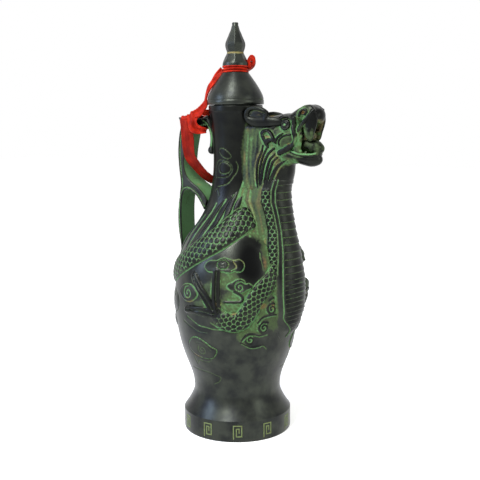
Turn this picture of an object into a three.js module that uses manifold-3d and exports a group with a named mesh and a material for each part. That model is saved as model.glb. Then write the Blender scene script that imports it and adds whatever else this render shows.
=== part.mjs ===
// A bronze wine pot: a tall vessel on a drum foot, with a dragon wound round it.
// The dragon's neck is the spout and its open mouth pours. A strap handle stands opposite,
// a domed lid with a spired knob drops into the mouth, and a red ribbon ties lid to handle.
// Units are millimetres. Z is up, the origin is the centre of the foot's underside,
// the spout points along +X and the handle along -X.
import * as THREE from 'three';
import { mergeVertices } from 'three/addons/utils/BufferGeometryUtils.js';
import Module from 'manifold-3d';

const wasm = await Module();
wasm.setup();

// Vessel
const footRadius = 40.2;
const footHeight = 15.5;
const waistRadius = 32.3;
const waistHeight = 32;
const bellyRadius = 45.2;
const bellyHeight = 98;
const neckRadius = 16.4;
const neckHeight = 204;
const mouthRadius = 19.3;
const mouthHeight = 236;
const collarRadius = 19.7;
const collarHeight = 5;
const wall = 2.5;
const floorThickness = 2;
const shoulderSeamHeight = 176;

// Dragon's body, cast in relief on the vessel
const coilWidth = 19;
const coilRise = 2.4;
const coilRoot = 1.2;
const legWidth = 6.5;
const legRise = 1.8;
const farHindWidth = 11.5;
const farHindRise = 2;
const cloudWidth = 8.4;
const cloudRise = 1.5;
const haunchAngle = 31;
const haunchRise = 9.2;
const haunchWidth = 26;
const haunchLength = 42;

// Dragon's neck, which is the spout
const spoutInset = 9.7;
const headReach = 35.5;
const spoutRadius = 20.8;
const spoutFootHeight = 78;
const headSeamDrop = 42;
const scuteRise = 0.9;
const borderRise = 1;
const scuteCount = 20;
const channelRadius = 4.4;
const portHeight = 127;

// Dragon's head
const headLength = 40;
const headHeight = 47;
const headWidth = 25;
const eyeRadius = 4.2;
const ridgeRadius = 1.2;
const earThickness = 2.6;
const hornRadius = 1.9;
const hornStub = 1.5;

// Handle
const handleReach = 45.4;
const handleDrop = 3;
const handleFootHeight = 122;
const handleWidth = 20;
const scrollWidth = 9;
const scrollThickness = 3;
const scrollKnobRadius = 2.6;

// Lid
const lidRadius = 21;
const lidRimHeight = 2.9;
const domeTopRadius = 10.6;
const domeHeight = 23.2;
const domeWall = 2;
const lidFloorThickness = 2;
const plugDepth = 10;
const plugWall = 2.4;
const tangRadius = 2.6;
const tangDepth = 7;
const finialNeckRadius = 6.2;
const finialNeckHeight = 5.5;
const finialRadius = 9.9;
const finialHeight = 30;

// Ribbon
const ribbonWidth = 12;
const ribbonThickness = 1;
const tieHeight = 4.8;
const tieBulk = 3.4;
const bowLoopHeight = 13;
const bowLoopWidth = 6;
const tetherSlack = 3.2;
const knotBulk = 2.2;
const knotLength = 11;
const knotDrop = 1.2;

// Clearances between pieces, and how far a cutting solid runs past what it cuts
const seamGap = 0.3;
const plugClearance = 0.4;
const overrun = 4;

const roundSegments = 34;

// Finishes
const finish = (color, roughness, metalness) => (
  new THREE.MeshStandardMaterial({ color, roughness, metalness })
);
const darkBronze = finish(0x23282a, 0.38, 0.85);
const greenBronze = finish(0x46604e, 0.6, 0.55);
const redSatin = finish(0xd93a20, 0.5, 0);

// A closed mesh becomes a solid once its shared points are merged and its faces point out.
function solid(geometry) {
  const bare = geometry.clone();
  bare.deleteAttribute('normal');
  bare.deleteAttribute('uv');
  const merged = mergeVertices(bare, 1e-5);
  const points = merged.getAttribute('position').array;
  const corners = merged.index.array;
  const triangles = [];
  let volume = 0;
  const corner = (i) => new THREE.Vector3().fromArray(points, i * 3);
  for (let i = 0; i < corners.length; i += 3) {
    const [a, b, c] = corners.slice(i, i + 3);
    if (a === b || b === c || c === a) continue;
    triangles.push(a, b, c);
    volume += corner(a).dot(corner(b).cross(corner(c)));
  }
  if (volume < 0) triangles.reverse();
  return new wasm.Manifold(new wasm.Mesh({
    numProp: 3,
    vertProperties: new Float32Array(points),
    triVerts: new Uint32Array(triangles),
  }));
}

function pieceMesh(name, body, material) {
  const { vertProperties, triVerts } = body.getMesh();
  const geometry = new THREE.BufferGeometry();
  geometry.setAttribute('position', new THREE.BufferAttribute(vertProperties, 3));
  geometry.setIndex(new THREE.BufferAttribute(triVerts, 1));
  geometry.computeVertexNormals();
  const mesh = new THREE.Mesh(geometry, material);
  mesh.name = name;
  return mesh;
}

// A profile of [radius, height] points turned about Z.
function revolve(profile, segments = roundSegments) {
  const points = profile.map(([radius, height]) => new THREE.Vector2(radius, height));
  return solid(new THREE.LatheGeometry(points, segments).rotateX(Math.PI / 2));
}

// Rings with the same number of points, skinned one to the next and capped at both ends.
function loft(rings) {
  const count = rings[0].length;
  const points = rings.flat();
  const index = [];
  for (let ring = 0; ring < rings.length - 1; ring += 1) {
    for (let i = 0; i < count; i += 1) {
      const a = ring * count + i;
      const b = ring * count + (i + 1) % count;
      index.push(a, b, b + count, a, b + count, a + count);
    }
  }
  for (const [ring, flip] of [[0, false], [rings.length - 1, true]]) {
    const centre = new THREE.Vector3();
    for (const point of rings[ring]) centre.addScaledVector(point, 1 / count);
    points.push(centre);
    for (let i = 0; i < count; i += 1) {
      const a = ring * count + i;
      const b = ring * count + (i + 1) % count;
      index.push(...(flip ? [a, b, points.length - 1] : [b, a, points.length - 1]));
    }
  }
  const geometry = new THREE.BufferGeometry().setFromPoints(points);
  geometry.setIndex(index);
  return solid(geometry);
}

// A rod whose radius follows its run: stations are [point, radius], with an elliptical section.
function taperedRod(points, radiusAt, sides = 8, steps = 14, flatten = 1) {
  const curve = new THREE.CatmullRomCurve3(points, false, 'centripetal');
  const frames = curve.computeFrenetFrames(steps, false);
  const rings = [];
  for (let step = 0; step <= steps; step += 1) {
    const share = step / steps;
    const centre = curve.getPointAt(share);
    rings.push(Array.from({ length: sides }, (_, side) => {
      const turn = side / sides * Math.PI * 2;
      return centre.clone()
        .addScaledVector(frames.normals[step], Math.cos(turn) * radiusAt(share))
        .addScaledVector(frames.binormals[step], Math.sin(turn) * radiusAt(share) * flatten);
    }));
  }
  return loft(rings);
}

// A flat strip: at each station a point, the direction of its width and the width itself.
function strip(stations, thickness) {
  const centres = stations.map(({ at }) => at);
  const curve = new THREE.CatmullRomCurve3(centres, false, 'centripetal');
  return loft(stations.map(({ at, across, width }, index) => {
    const along = curve.getTangent(index / (stations.length - 1));
    const side = across.clone().addScaledVector(along, -along.dot(across)).normalize();
    const out = along.clone().cross(side).normalize();
    const corner = (u, v) => at.clone()
      .addScaledVector(side, u * width / 2)
      .addScaledVector(out, v * thickness / 2);
    return [corner(-1, -1), corner(1, -1), corner(1, 1), corner(-1, 1)];
  }));
}

// Two raised bands that cross can close a pocket between them, which is filled here.
function withoutPockets(body) {
  return body.decompose().reduce((kept, part) => (part.volume() > kept.volume() ? part : kept));
}

// A box between two corners, used to part one casting from the next.
function block(low, high) {
  const size = high.clone().sub(low);
  const centre = low.clone().add(high).multiplyScalar(0.5);
  const box = new THREE.BoxGeometry(size.x, size.y, size.z);
  return solid(box.translate(centre.x, centre.y, centre.z));
}

// The vessel's outer curve, from the foot up to the collar, as a chain of four bends.
const rimHeight = mouthHeight + collarHeight;
const vesselCurve = new THREE.Path();
vesselCurve.moveTo(footRadius, footHeight);
{
  const bend = (fromRadius, fromHeight, toRadius, toHeight, leaveShares, arriveShares) => {
    const across = toRadius - fromRadius;
    const up = toHeight - fromHeight;
    vesselCurve.bezierCurveTo(
      fromRadius + leaveShares[0] * across, fromHeight + leaveShares[1] * up,
      toRadius - arriveShares[0] * across, toHeight - arriveShares[1] * up,
      toRadius, toHeight,
    );
  };
  bend(footRadius, footHeight, waistRadius, waistHeight, [0.31, 0.19], [0, 0.33]);
  bend(waistRadius, waistHeight, bellyRadius, bellyHeight, [0, 0.29], [0, 0.65]);
  bend(bellyRadius, bellyHeight, neckRadius, neckHeight, [0, 0.63], [0, 0.59]);
  bend(neckRadius, neckHeight, mouthRadius, mouthHeight, [0, 0.45], [0.34, 0.12]);
}
const vesselPoints = vesselCurve.getPoints(5).map(({ x, y }) => [x, y]);

function vesselRadiusAt(height) {
  if (height <= footHeight) return footRadius;
  const above = vesselPoints.findIndex(([, z]) => z >= height);
  if (above < 1) return above === 0 ? footRadius : mouthRadius;
  const [r0, z0] = vesselPoints[above - 1];
  const [r1, z1] = vesselPoints[above];
  return r0 + (r1 - r0) * (height - z0) / (z1 - z0);
}

// A place on or off the vessel's skin: degrees round from the spout, height, distance out.
function onVessel(degrees, height, out = 0) {
  const turn = THREE.MathUtils.degToRad(degrees);
  const radius = vesselRadiusAt(height) + out;
  return new THREE.Vector3(radius * Math.cos(turn), radius * Math.sin(turn), height);
}

// A raised band that lies on the vessel: its path is in degrees and heights, its section a
// low arch whose root is sunk in the wall. grow widens it all round for cutting a neighbour.
function reliefBand(path, width, rise, taper, steps, grow = 0) {
  const line = new THREE.SplineCurve(path.map(([degrees, height]) => (
    new THREE.Vector2(THREE.MathUtils.degToRad(degrees) * bellyRadius, height)
  )));
  const acrossShares = [-1, -0.68, 0, 0.68, 1];
  const rings = [];
  for (let step = 0; step <= steps; step += 1) {
    const share = step / steps;
    const centre = line.getPoint(share);
    const along = line.getTangent(share);
    const half = width / 2 * taper(share) + grow;
    const place = (u, out) => {
      const arc = centre.x - along.y * u * half;
      const height = centre.y + along.x * u * half;
      const degrees = THREE.MathUtils.radToDeg(arc / bellyRadius);
      return onVessel(degrees, height, out);
    };
    const top = acrossShares.map((u) => {
      const arch = Math.sqrt(Math.max(0, 1 - u * u));
      return place(u, (rise * taper(share)) * arch + grow * (0.2 + 0.8 * arch));
    });
    const root = [1, -1].map((u) => place(u, -coilRoot));
    rings.push([...top, ...root]);
  }
  return loft(rings);
}

// Where the dragon's body runs, in degrees round from the spout and shares of belly height.
const coilPathShares = [
  [-17, 1.675], [-34, 1.65], [-50, 1.625], [-68, 1.565], [-83, 1.5], [-98, 1.44],
  [-122, 1.33], [-150, 1.22], [-180, 1.14], [-215, 1.1], [-250, 1.12], [-285, 1.2],
  [-312, 1.25], [-340, 1.27],
];
const hindPathShares = [
  [-12, 1.29], [-25, 1.24], [-36, 1.18], [-43, 1.11], [-50, 1.02], [-57, 0.95], [-66, 0.92],
  [-78, 0.95],
];
const nearLegShares = [
  [[-66, 0.92], [-77, 1.02], [-78, 1.12], [-79, 1.26]],
  [[-72, 0.95], [-82, 1.04], [-89, 1.12], [-102, 1.24]],
  [[-72, 0.94], [-91, 0.99], [-101, 0.99], [-112, 0.98]],
];
const nearCloudShares = [
  [[-91, 1.315], [-80, 1.325], [-66, 1.325], [-54, 1.315]],
  [[-68, 1.165], [-58, 1.18], [-47, 1.17]],
  [[-119, 1.105], [-110, 1.11], [-102, 1.1]],
];
// The far side has the same hind body, leg and clouds, the other way round.
const mirrored = (paths) => paths.map((path) => path.map(([turn, share]) => [-turn, share]));
const bothSides = (paths) => [...paths, ...mirrored(paths)];
const haunchHeightShare = 1.113;

// The belly's lower casting ends here, below everything that stands on the skin.
const bellySeamHeight = 0.835 * bellyHeight;
const atBelly = (path) => path.map(([degrees, share]) => [degrees, share * bellyHeight]);
const bodyTaper = (share) => 1 - 0.12 * share;
const tailTaper = (share) => 1 - 0.45 * share;
const legTaper = (share) => 0.75 + 0.25 * Math.sin(share * Math.PI);

// The haunch that bulges beside the spout on the side away from the coil's head end.
function haunch(grow) {
  const bulk = new THREE.SphereGeometry(1, 14, 8);
  bulk.scale(haunchRise * 2 + grow, haunchWidth / 2 + grow, haunchLength / 2 + grow);
  bulk.translate(bellyRadius - haunchRise, 0, haunchHeightShare * bellyHeight);
  return solid(bulk.rotateZ(THREE.MathUtils.degToRad(haunchAngle)));
}

function reliefBands(grow) {
  const bands = [
    reliefBand(atBelly(coilPathShares), coilWidth, coilRise, bodyTaper, 32, grow),
    reliefBand(atBelly(hindPathShares), coilWidth, coilRise, tailTaper, 12, grow),
  ];
  const [farHind] = mirrored([hindPathShares]);
  bands.push(reliefBand(atBelly(farHind), farHindWidth, farHindRise, tailTaper, 9, grow));
  for (const path of bothSides(nearLegShares)) {
    bands.push(reliefBand(atBelly(path), legWidth, legRise, legTaper, 4, grow));
  }
  for (const path of bothSides(nearCloudShares)) {
    bands.push(reliefBand(atBelly(path), cloudWidth, cloudRise, legTaper, 4, grow));
  }
  return bands;
}

// The vessel as a filled solid, larger all round by grow, for fitting pieces against it.
function vesselBlank(grow) {
  const outline = [[0, -grow], [footRadius + grow, -grow]];
  for (const [radius, height] of vesselPoints) outline.push([radius + grow, height]);
  outline.push([collarRadius + grow, mouthHeight], [collarRadius + grow, rimHeight + grow]);
  outline.push([0, rimHeight + grow]);
  return revolve(outline);
}

function fittedToVessel(body) {
  let fitted = body.subtract(vesselBlank(seamGap)).subtract(haunch(seamGap));
  for (const band of reliefBands(seamGap)) fitted = fitted.subtract(band);
  return fitted;
}

// The vessel is one wall in four castings, open at the mouth and under the foot.
const skinBetween = (low, high, inset) => [
  [vesselRadiusAt(low) - inset, low],
  ...vesselPoints.filter(([, height]) => height > low + seamGap && height < high - seamGap)
    .map(([radius, height]) => [radius - inset, height]),
  [vesselRadiusAt(high) - inset, high],
];
const closedSection = (outer, inner) => revolve([...inner, ...outer.reverse(), inner[0]]);

function potFoot() {
  const insideFloor = footRadius - wall;
  return closedSection(
    [[footRadius, 0], ...skinBetween(footHeight, waistHeight, 0)],
    [[insideFloor, 0], [insideFloor, footHeight - wall], ...skinBetween(footHeight + wall, waistHeight, wall)],
  );
}

function potBelly() {
  const low = waistHeight + seamGap;
  return closedSection(
    skinBetween(low, bellySeamHeight, 0), skinBetween(low, bellySeamHeight, wall),
  );
}

function potBody() {
  const low = bellySeamHeight + seamGap;
  const inside = skinBetween(low, shoulderSeamHeight, wall);
  let shell = closedSection(skinBetween(low, shoulderSeamHeight, 0), inside);
  for (const band of reliefBands(0)) shell = shell.add(band);
  const hollow = inside.map(([radius, height]) => [radius + wall / 2, height]);
  const bulge = haunch(0).subtract(revolve([[0, low], ...hollow, [0, shoulderSeamHeight]]));
  return withoutPockets(shell.add(bulge).subtract(channel()));
}

function potNeck() {
  const low = shoulderSeamHeight + seamGap;
  return closedSection(
    [
      ...skinBetween(low, mouthHeight, 0),
      [collarRadius, mouthHeight + wall / 2], [collarRadius, rimHeight],
    ],
    [...skinBetween(low, mouthHeight, wall), [mouthRadius - wall, rimHeight]],
  );
}

function basePlate() {
  const radius = footRadius - wall - seamGap;
  const chamfer = floorThickness / 4;
  return revolve([
    [0, 0], [radius - chamfer, 0], [radius, chamfer], [radius, floorThickness], [0, floorThickness],
  ]);
}

// The dragon's neck: at shares of its height, its centre's reach and its radius.
const spoutReach = bellyRadius - spoutInset;
const headSeamHeight = mouthHeight - headSeamDrop;
const neckRun = headSeamHeight - spoutFootHeight;
const neckShares = [
  // height, reach, radius
  [0, 0.75, 0.83], [0.08, 0.89, 0.84], [0.15, 0.97, 0.86], [0.26, 0.955, 0.98],
  [0.36, 0.96, 0.955], [0.52, 0.985, 0.77], [0.64, 0.965, 0.65], [0.73, 0.895, 0.665],
  [0.82, 0.81, 0.73], [0.89, 0.82, 0.7], [1, 0.89, 0.69],
];
const fullReach = (height) => spoutReach + (headReach - spoutReach) * Math.max(0, height * 2 - 1);
const neckGuide = new THREE.CatmullRomCurve3(neckShares.map(([height, reach, radius]) => (
  new THREE.Vector3(reach * fullReach(height), radius * spoutRadius, height * neckRun)
)));
const neckTable = neckGuide.getPoints(80).map(({ x, y, z }) => [x, y, z + spoutFootHeight]);

function neckAt(height) {
  const next = neckTable.findIndex(([, , z]) => z >= height);
  if (next === 0) return { reach: neckTable[0][0], radius: neckTable[0][1] };
  const [reach1, radius1, z1] = next < 0 ? neckTable[neckTable.length - 1] : neckTable[next];
  const [reach0, radius0, z0] = neckTable[(next < 0 ? neckTable.length - 1 : next) - 1];
  const share = z1 === z0 ? 0 : Math.min(1, (height - z0) / (z1 - z0));
  return { reach: reach0 + (reach1 - reach0) * share, radius: radius0 + (radius1 - radius0) * share };
}

// One level section of the neck: an arc in front, sides that draw in towards the vessel.
// The plates stand on the arc between two border ridges.
const plateHalfAngle = 47;
const frontAngles = [90, 70, 57, 51, 45, 23, 0];
function neckSection(height, plate) {
  const { reach, radius } = neckAt(height);
  const fade = Math.min(1, (height - spoutFootHeight) / (spoutRadius / 2));
  const narrow = plateHalfAngle * (0.35 + 0.65 * fade) / plateHalfAngle;
  const front = [...frontAngles, ...frontAngles.slice(0, -1).reverse().map((angle) => -angle)];
  const points = front.map((angle) => {
    const size = Math.abs(angle);
    const onPlate = size < plateHalfAngle;
    const turn = THREE.MathUtils.degToRad(angle * (size < 60 ? narrow : 1));
    const rise = onPlate ? plate * scuteRise : (size < 57 ? borderRise : 0);
    const out = radius + rise * fade;
    return new THREE.Vector3(reach + out * Math.cos(turn), out * Math.sin(turn), height);
  });
  const back = [[0.62, -0.93], [0.25, -0.76], [0, -0.5], [0, 0.5], [0.25, 0.76], [0.62, 0.93]];
  for (const [reachShare, sideShare] of back) {
    points.push(new THREE.Vector3(reach * reachShare, radius * sideShare, height));
  }
  return points;
}

function spoutNeck() {
  const pitch = neckRun / scuteCount;
  const groove = pitch * 0.12;
  const rings = [];
  for (let plate = 0; plate < scuteCount; plate += 1) {
    const low = spoutFootHeight + plate * pitch;
    rings.push(neckSection(low + (plate === 0 ? 0 : groove / 2), 0));
    rings.push(neckSection(low + groove * 2, 1));
  }
  rings.push(neckSection(headSeamHeight, 0));
  return fittedToVessel(loft(rings)).subtract(channel());
}

// Heights and reaches inside the head are shares of its own box, from its lower back edge,
// which stands on the neck's centre line.
const headBack = neckTable[neckTable.length - 1][0];
const headPlace = (lengthShare, widthShare, heightShare) => new THREE.Vector3(
  headBack + lengthShare * headLength,
  widthShare * headWidth / 2,
  headSeamHeight + heightShare * headHeight,
);

// An elliptical loft in the head: stations give centre, lean of the section from upright in
// degrees, half width and half height, as shares of the head's length, width and height.
function headLoft(stations, sides = 10) {
  return loft(stations.map(([x, z, lean, halfWidth, halfHeight]) => {
    const centre = headPlace(x, 0, z);
    const turn = THREE.MathUtils.degToRad(lean);
    const up = new THREE.Vector3(-Math.sin(turn), 0, Math.cos(turn));
    return Array.from({ length: sides }, (_, side) => {
      const angle = side / sides * Math.PI * 2;
      const wide = Math.cos(angle);
      const high = Math.sin(angle);
      const square = 1 / Math.pow(Math.pow(Math.abs(wide), 3) + Math.pow(Math.abs(high), 3), 1 / 3);
      const point = centre.clone().addScaledVector(up, high * square * halfHeight * headHeight);
      point.y += wide * square * halfWidth * headWidth;
      return point;
    });
  }));
}

// The way the wine takes: in through the belly's wall, up the neck and out of the mouth.
function channel() {
  const front = neckAt(portHeight);
  const portReach = front.reach + front.radius - channelRadius - wall;
  const midHeight = spoutFootHeight + neckRun * 0.64;
  const mid = neckAt(midHeight);
  const high = spoutFootHeight + neckRun * 0.84;
  const narrow = neckAt(high);
  const path = [
    new THREE.Vector3(portReach - channelRadius / 2, 0, portHeight - channelRadius / 2),
    new THREE.Vector3(portReach, 0, portHeight + channelRadius * 2),
    new THREE.Vector3(mid.reach + mid.radius - channelRadius - wall, 0, midHeight),
    new THREE.Vector3(narrow.reach + wall, 0, high),
    headPlace(0.1, 0, 0.02),
    headPlace(0.34, 0, 0.3),
    headPlace(0.72, 0, 0.56),
  ];
  const port = [
    new THREE.Vector3(vesselRadiusAt(portHeight) - wall - overrun, 0, portHeight),
    new THREE.Vector3(portReach - channelRadius / 4, 0, portHeight),
  ];
  const bore = () => channelRadius;
  return taperedRod(path, bore, 8, 14).add(taperedRod(port, bore, 8, 2));
}

function eyeAndBrow(side) {
  const eye = solid(new THREE.SphereGeometry(eyeRadius, 10, 7));
  const place = headPlace(0.35, side * 0.92, 0.7);
  const brow = taperedRod([
    headPlace(0.2, side * 0.85, 0.72),
    headPlace(0.24, side * 0.96, 0.81),
    headPlace(0.36, side * 0.98, 0.85),
    headPlace(0.48, side * 0.86, 0.8),
  ], (share) => ridgeRadius * (0.7 + 1.1 * Math.sin(share * Math.PI)), 6, 7);
  return eye.translate(place.x, place.y, place.z).add(brow);
}

function ear(side) {
  const root = headPlace(0.2, side * 0.98, 0.46);
  const tip = headPlace(-0.1, side * 1.16, 0.6);
  const middle = headPlace(0.05, side * 1.12, 0.56);
  const leaf = (share) => earThickness / 2 * (0.35 + 1.1 * Math.sin(Math.min(share * 1.05, 1) * Math.PI));
  const blade = taperedRod([root, middle, tip], leaf, 8, 6, 1.1);
  const rise = taperedRod([
    headPlace(0.2, side * 0.98, 0.5),
    headPlace(0.06, side * 1.1, 0.64),
    headPlace(-0.09, side * 1.14, 0.61),
  ], (share) => ridgeRadius * (1 - 0.4 * share), 6, 5);
  return blade.add(rise);
}

function cheekRidge(side) {
  return taperedRod([
    headPlace(0.51, side * 0.84, 0.79),
    headPlace(0.52, side * 0.94, 0.66),
    headPlace(0.555, side * 0.95, 0.54),
    headPlace(0.56, side * 0.93, 0.48),
    headPlace(0.5, side * 0.95, 0.4),
    headPlace(0.41, side * 0.98, 0.36),
    headPlace(0.27, side * 0.98, 0.29),
  ], () => ridgeRadius, 6, 12);
}

// Fangs hang from the upper lip, one each side.
function fang(side) {
  return taperedRod([
    headPlace(0.82, side * 0.5, 0.86),
    headPlace(0.84, side * 0.62, 0.72),
    headPlace(0.79, side * 0.64, 0.53),
  ], (share) => ridgeRadius * (2.3 - 1.6 * share), 7, 5);
}

function hornPath(side) {
  return [
    headPlace(0.28, side * 0.9, 0.72),
    headPlace(0.16, side * 1.06, 0.715),
    headPlace(-0.05, side * 1.16, 0.71),
    headPlace(-0.28, side * 1.2, 0.73),
    headPlace(-0.35, side * 1.2, 0.82),
    headPlace(-0.33, side * 1.2, 0.92),
    headPlace(-0.2, side * 1.18, 0.965),
    headPlace(-0.04, side * 1.14, 0.94),
    headPlace(0.07, side * 1.08, 0.885),
  ];
}

function wholeHorn(side) {
  const thickness = (share) => hornRadius * (1.25 - 0.8 * share);
  return taperedRod(hornPath(side), thickness, 7, 22);
}

const hornSeat = headPlace(0.16, 0, 0).x - hornStub;
function beyondHornSeat(gap) {
  const reach = headLength * 2;
  return block(
    new THREE.Vector3(hornSeat - gap, -reach, headSeamHeight),
    new THREE.Vector3(hornSeat + reach, reach, headSeamHeight + headHeight * 2),
  );
}

function dragonHead() {
  // The mane and nape rise from the neck's last section and draw in towards the crown.
  const nape = [[0, 1], [0.14, 0.99], [0.3, 0.93], [0.48, 0.88], [0.62, 0.82], [0.73, 0.66], [0.78, 0.36]];
  const napeRings = nape.map(([up, size]) => {
    const height = headSeamHeight + seamGap + up * headHeight;
    return neckSection(headSeamHeight, 0).map(({ x, y }) => (
      new THREE.Vector3(x + up * headLength * 0.12, y * size, height)
    ));
  });
  const skull = headLoft([
    [0.04, 0.36, 0, 0.4, 0.24], [0.2, 0.45, 0, 0.46, 0.33], [0.36, 0.49, 0, 0.48, 0.34],
    [0.48, 0.5, 0, 0.45, 0.31], [0.56, 0.48, 0, 0.4, 0.23],
  ]);
  const snout = headLoft([
    [0.22, 0.6, 20, 0.42, 0.22], [0.38, 0.7, 30, 0.46, 0.17], [0.54, 0.79, 42, 0.44, 0.14],
    [0.68, 0.885, 42, 0.38, 0.125], [0.8, 0.94, 30, 0.36, 0.095], [0.92, 0.915, -10, 0.33, 0.085],
    [0.985, 0.85, -45, 0.25, 0.055],
  ]);
  const jaw = headLoft([
    [0.2, 0.26, 0, 0.42, 0.16], [0.42, 0.24, -8, 0.42, 0.15], [0.62, 0.18, -10, 0.4, 0.125],
    [0.8, 0.17, 0, 0.37, 0.105], [0.92, 0.19, 30, 0.3, 0.095],
  ]);
  const lip = headLoft([
    [0.76, 0.17, 30, 0.28, 0.1], [0.88, 0.24, 55, 0.27, 0.085], [0.945, 0.33, 75, 0.2, 0.05],
    [0.95, 0.39, 80, 0.1, 0.025],
  ], 8);
  const tongue = headLoft([
    [0.4, 0.34, -10, 0.2, 0.07], [0.62, 0.37, -15, 0.22, 0.06], [0.8, 0.36, -5, 0.2, 0.045],
    [0.9, 0.4, 20, 0.13, 0.03],
  ], 8);
  const mouth = headLoft([
    [0.36, 0.42, 0, 0.12, 0.08], [0.5, 0.46, 0, 0.27, 0.13], [0.66, 0.52, 10, 0.31, 0.2],
    [0.84, 0.56, 10, 0.3, 0.22], [1.1, 0.58, 0, 0.34, 0.24],
  ]);
  let head = loft(napeRings).add(skull).add(snout).add(jaw).add(lip).subtract(mouth).add(tongue);
  for (const side of [-1, 1]) {
    const stub = wholeHorn(side).intersect(beyondHornSeat(0));
    head = head.add(eyeAndBrow(side)).add(ear(side)).add(cheekRidge(side)).add(fang(side)).add(stub);
  }
  const belowSeam = block(
    new THREE.Vector3(-headLength, -headWidth * 2, 0),
    new THREE.Vector3(headLength * 3, headWidth * 2, headSeamHeight + seamGap),
  );
  return fittedToVessel(head.subtract(belowSeam)).subtract(channel());
}

function horn(side) {
  return wholeHorn(side).subtract(beyondHornSeat(seamGap)).subtract(vesselBlank(seamGap));
}

// Handle outline: shares of its reach and of its height, the outside from the tip down,
// then the two openings. Every line closes inside the vessel, which is cut away.
const handleTopHeight = mouthHeight - handleDrop;
const handleRun = handleTopHeight - handleFootHeight;
const handlePoint = (reachShare, heightShare) => new THREE.Vector2(
  -reachShare * handleReach, handleFootHeight + heightShare * handleRun,
);
const handlePoints = (shares) => shares.map(([reach, height]) => handlePoint(reach, height));
const strapOutsideShares = [
  [0.956, 0.995], [0.905, 0.945], [0.949, 0.88], [0.976, 0.77], [0.96, 0.659], [0.934, 0.546],
  [0.982, 0.432], [1, 0.314], [0.98, 0.202], [0.95, 0.1], [0.9, 0],
];
const upperGapShares = [
  [0.6, 0.94], [0.74, 0.935], [0.84, 0.905], [0.878, 0.83], [0.885, 0.74], [0.872, 0.655],
  [0.82, 0.595], [0.72, 0.555], [0.6, 0.52], [0.46, 0.468], [0.36, 0.4],
];
const lowerGapShares = [
  [0.9, 0.06], [0.925, 0.18], [0.94, 0.3], [0.937, 0.4], [0.91, 0.475], [0.85, 0.512],
  [0.76, 0.508], [0.67, 0.486], [0.59, 0.45], [0.49, 0.38], [0.42, 0.3],
];

// An outline in the handle's plane, made width thick and moved outwards by grow.
function throughPlate(outline, width, grow) {
  const plate = new THREE.ExtrudeGeometry(new THREE.Shape(outline), {
    depth: width, bevelThickness: 0, bevelSize: 0, bevelOffset: grow, bevelSegments: 1,
  });
  return solid(plate.translate(0, 0, -width / 2).rotateX(Math.PI / 2));
}

// An opening's outline runs along its shares and closes inside the vessel.
const insideReach = neckRadius / 2;
function closedInside(shares, steps) {
  const outline = new THREE.SplineCurve(handlePoints(shares)).getPoints(steps);
  const last = outline[outline.length - 1].y;
  outline.push(new THREE.Vector2(-insideReach, last), new THREE.Vector2(-insideReach, outline[0].y));
  return outline;
}

function handlePlate(grow) {
  const outline = closedInside(strapOutsideShares, 34);
  outline.push(handlePoint(0.8, 0.985));
  return throughPlate(outline, handleWidth + grow * 2, grow)
    .subtract(throughPlate(closedInside(upperGapShares, 20), handleWidth + overrun, -grow))
    .subtract(throughPlate(closedInside(lowerGapShares, 20), handleWidth + overrun, -grow));
}

function handle() {
  return fittedToVessel(handlePlate(0));
}

// A curled leaf hangs from the handle's top bar beside the vessel's neck.
const barUnderside = handlePoint(0.6, 0.94).y;
function handleScroll() {
  const leafPoints = [[0.6, 0.9], [0.555, 0.925], [0.51, 0.89], [0.495, 0.83], [0.51, 0.78], [0.53, 0.75]];
  const centre = handlePoints(leafPoints).map(({ x, y }) => new THREE.Vector3(x, 0, y));
  const sections = new THREE.CatmullRomCurve3(centre, false, 'centripetal');
  const stations = sections.getPoints(12).map((at) => (
    { at, across: new THREE.Vector3(0, 1, 0), width: scrollWidth }
  ));
  const leaf = strip(stations, scrollThickness);
  const knobCentre = handlePoint(0.522, 0.758);
  const knob = solid(new THREE.CylinderGeometry(
    scrollKnobRadius, scrollKnobRadius, scrollWidth, 14,
  ).translate(knobCentre.x, 0, knobCentre.y));
  const seat = block(
    new THREE.Vector3(-handleReach, -handleWidth, barUnderside - seamGap),
    new THREE.Vector3(0, handleWidth, handleTopHeight),
  );
  return fittedToVessel(leaf.add(knob).subtract(seat));
}

// Lid: a hollow dome with a floor ring, which rests on the pot's rim.
const lidSeat = rimHeight + seamGap;
const plugRadius = vesselRadiusAt(rimHeight - plugDepth) - wall - plugClearance;
const domeShares = [
  // radius and height between the rim and the dome's top
  [0.91, 0], [0.84, 0.12], [0.71, 0.24], [0.64, 0.35], [0.49, 0.48], [0.42, 0.6],
  [0.29, 0.7], [0.14, 0.82], [0, 0.94],
];
const domeFoot = lidSeat + lidRimHeight;
const domeTop = lidSeat + domeHeight;
const domeRun = domeTop - domeFoot;
const domePoints = domeShares.map(([out, up]) => (
  [domeTopRadius + out * (lidRadius - domeTopRadius), domeFoot + up * domeRun]
));

function lidDome() {
  const hole = tangRadius + seamGap;
  const outside = [
    [lidRadius, lidSeat],
    [lidRadius, domeFoot - lidRimHeight / 4],
    [lidRadius - domeWall / 8, domeFoot],
    ...domePoints,
    [domeTopRadius - domeWall / 3, domeTop],
    [hole, domeTop],
  ];
  const inside = domePoints.filter((_, index) => index % 2 === 1).reverse()
    .map(([radius, height]) => [radius - domeWall, height - domeWall / 3]);
  const floorHole = plugRadius - plugWall;
  const section = [
    ...outside,
    [hole, domeTop - domeWall],
    ...inside,
    [domePoints[1][0] - domeWall, lidSeat + lidFloorThickness],
    [floorHole, lidSeat + lidFloorThickness],
    [floorHole, lidSeat],
  ];
  return revolve([...section, section[0]]);
}

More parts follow.
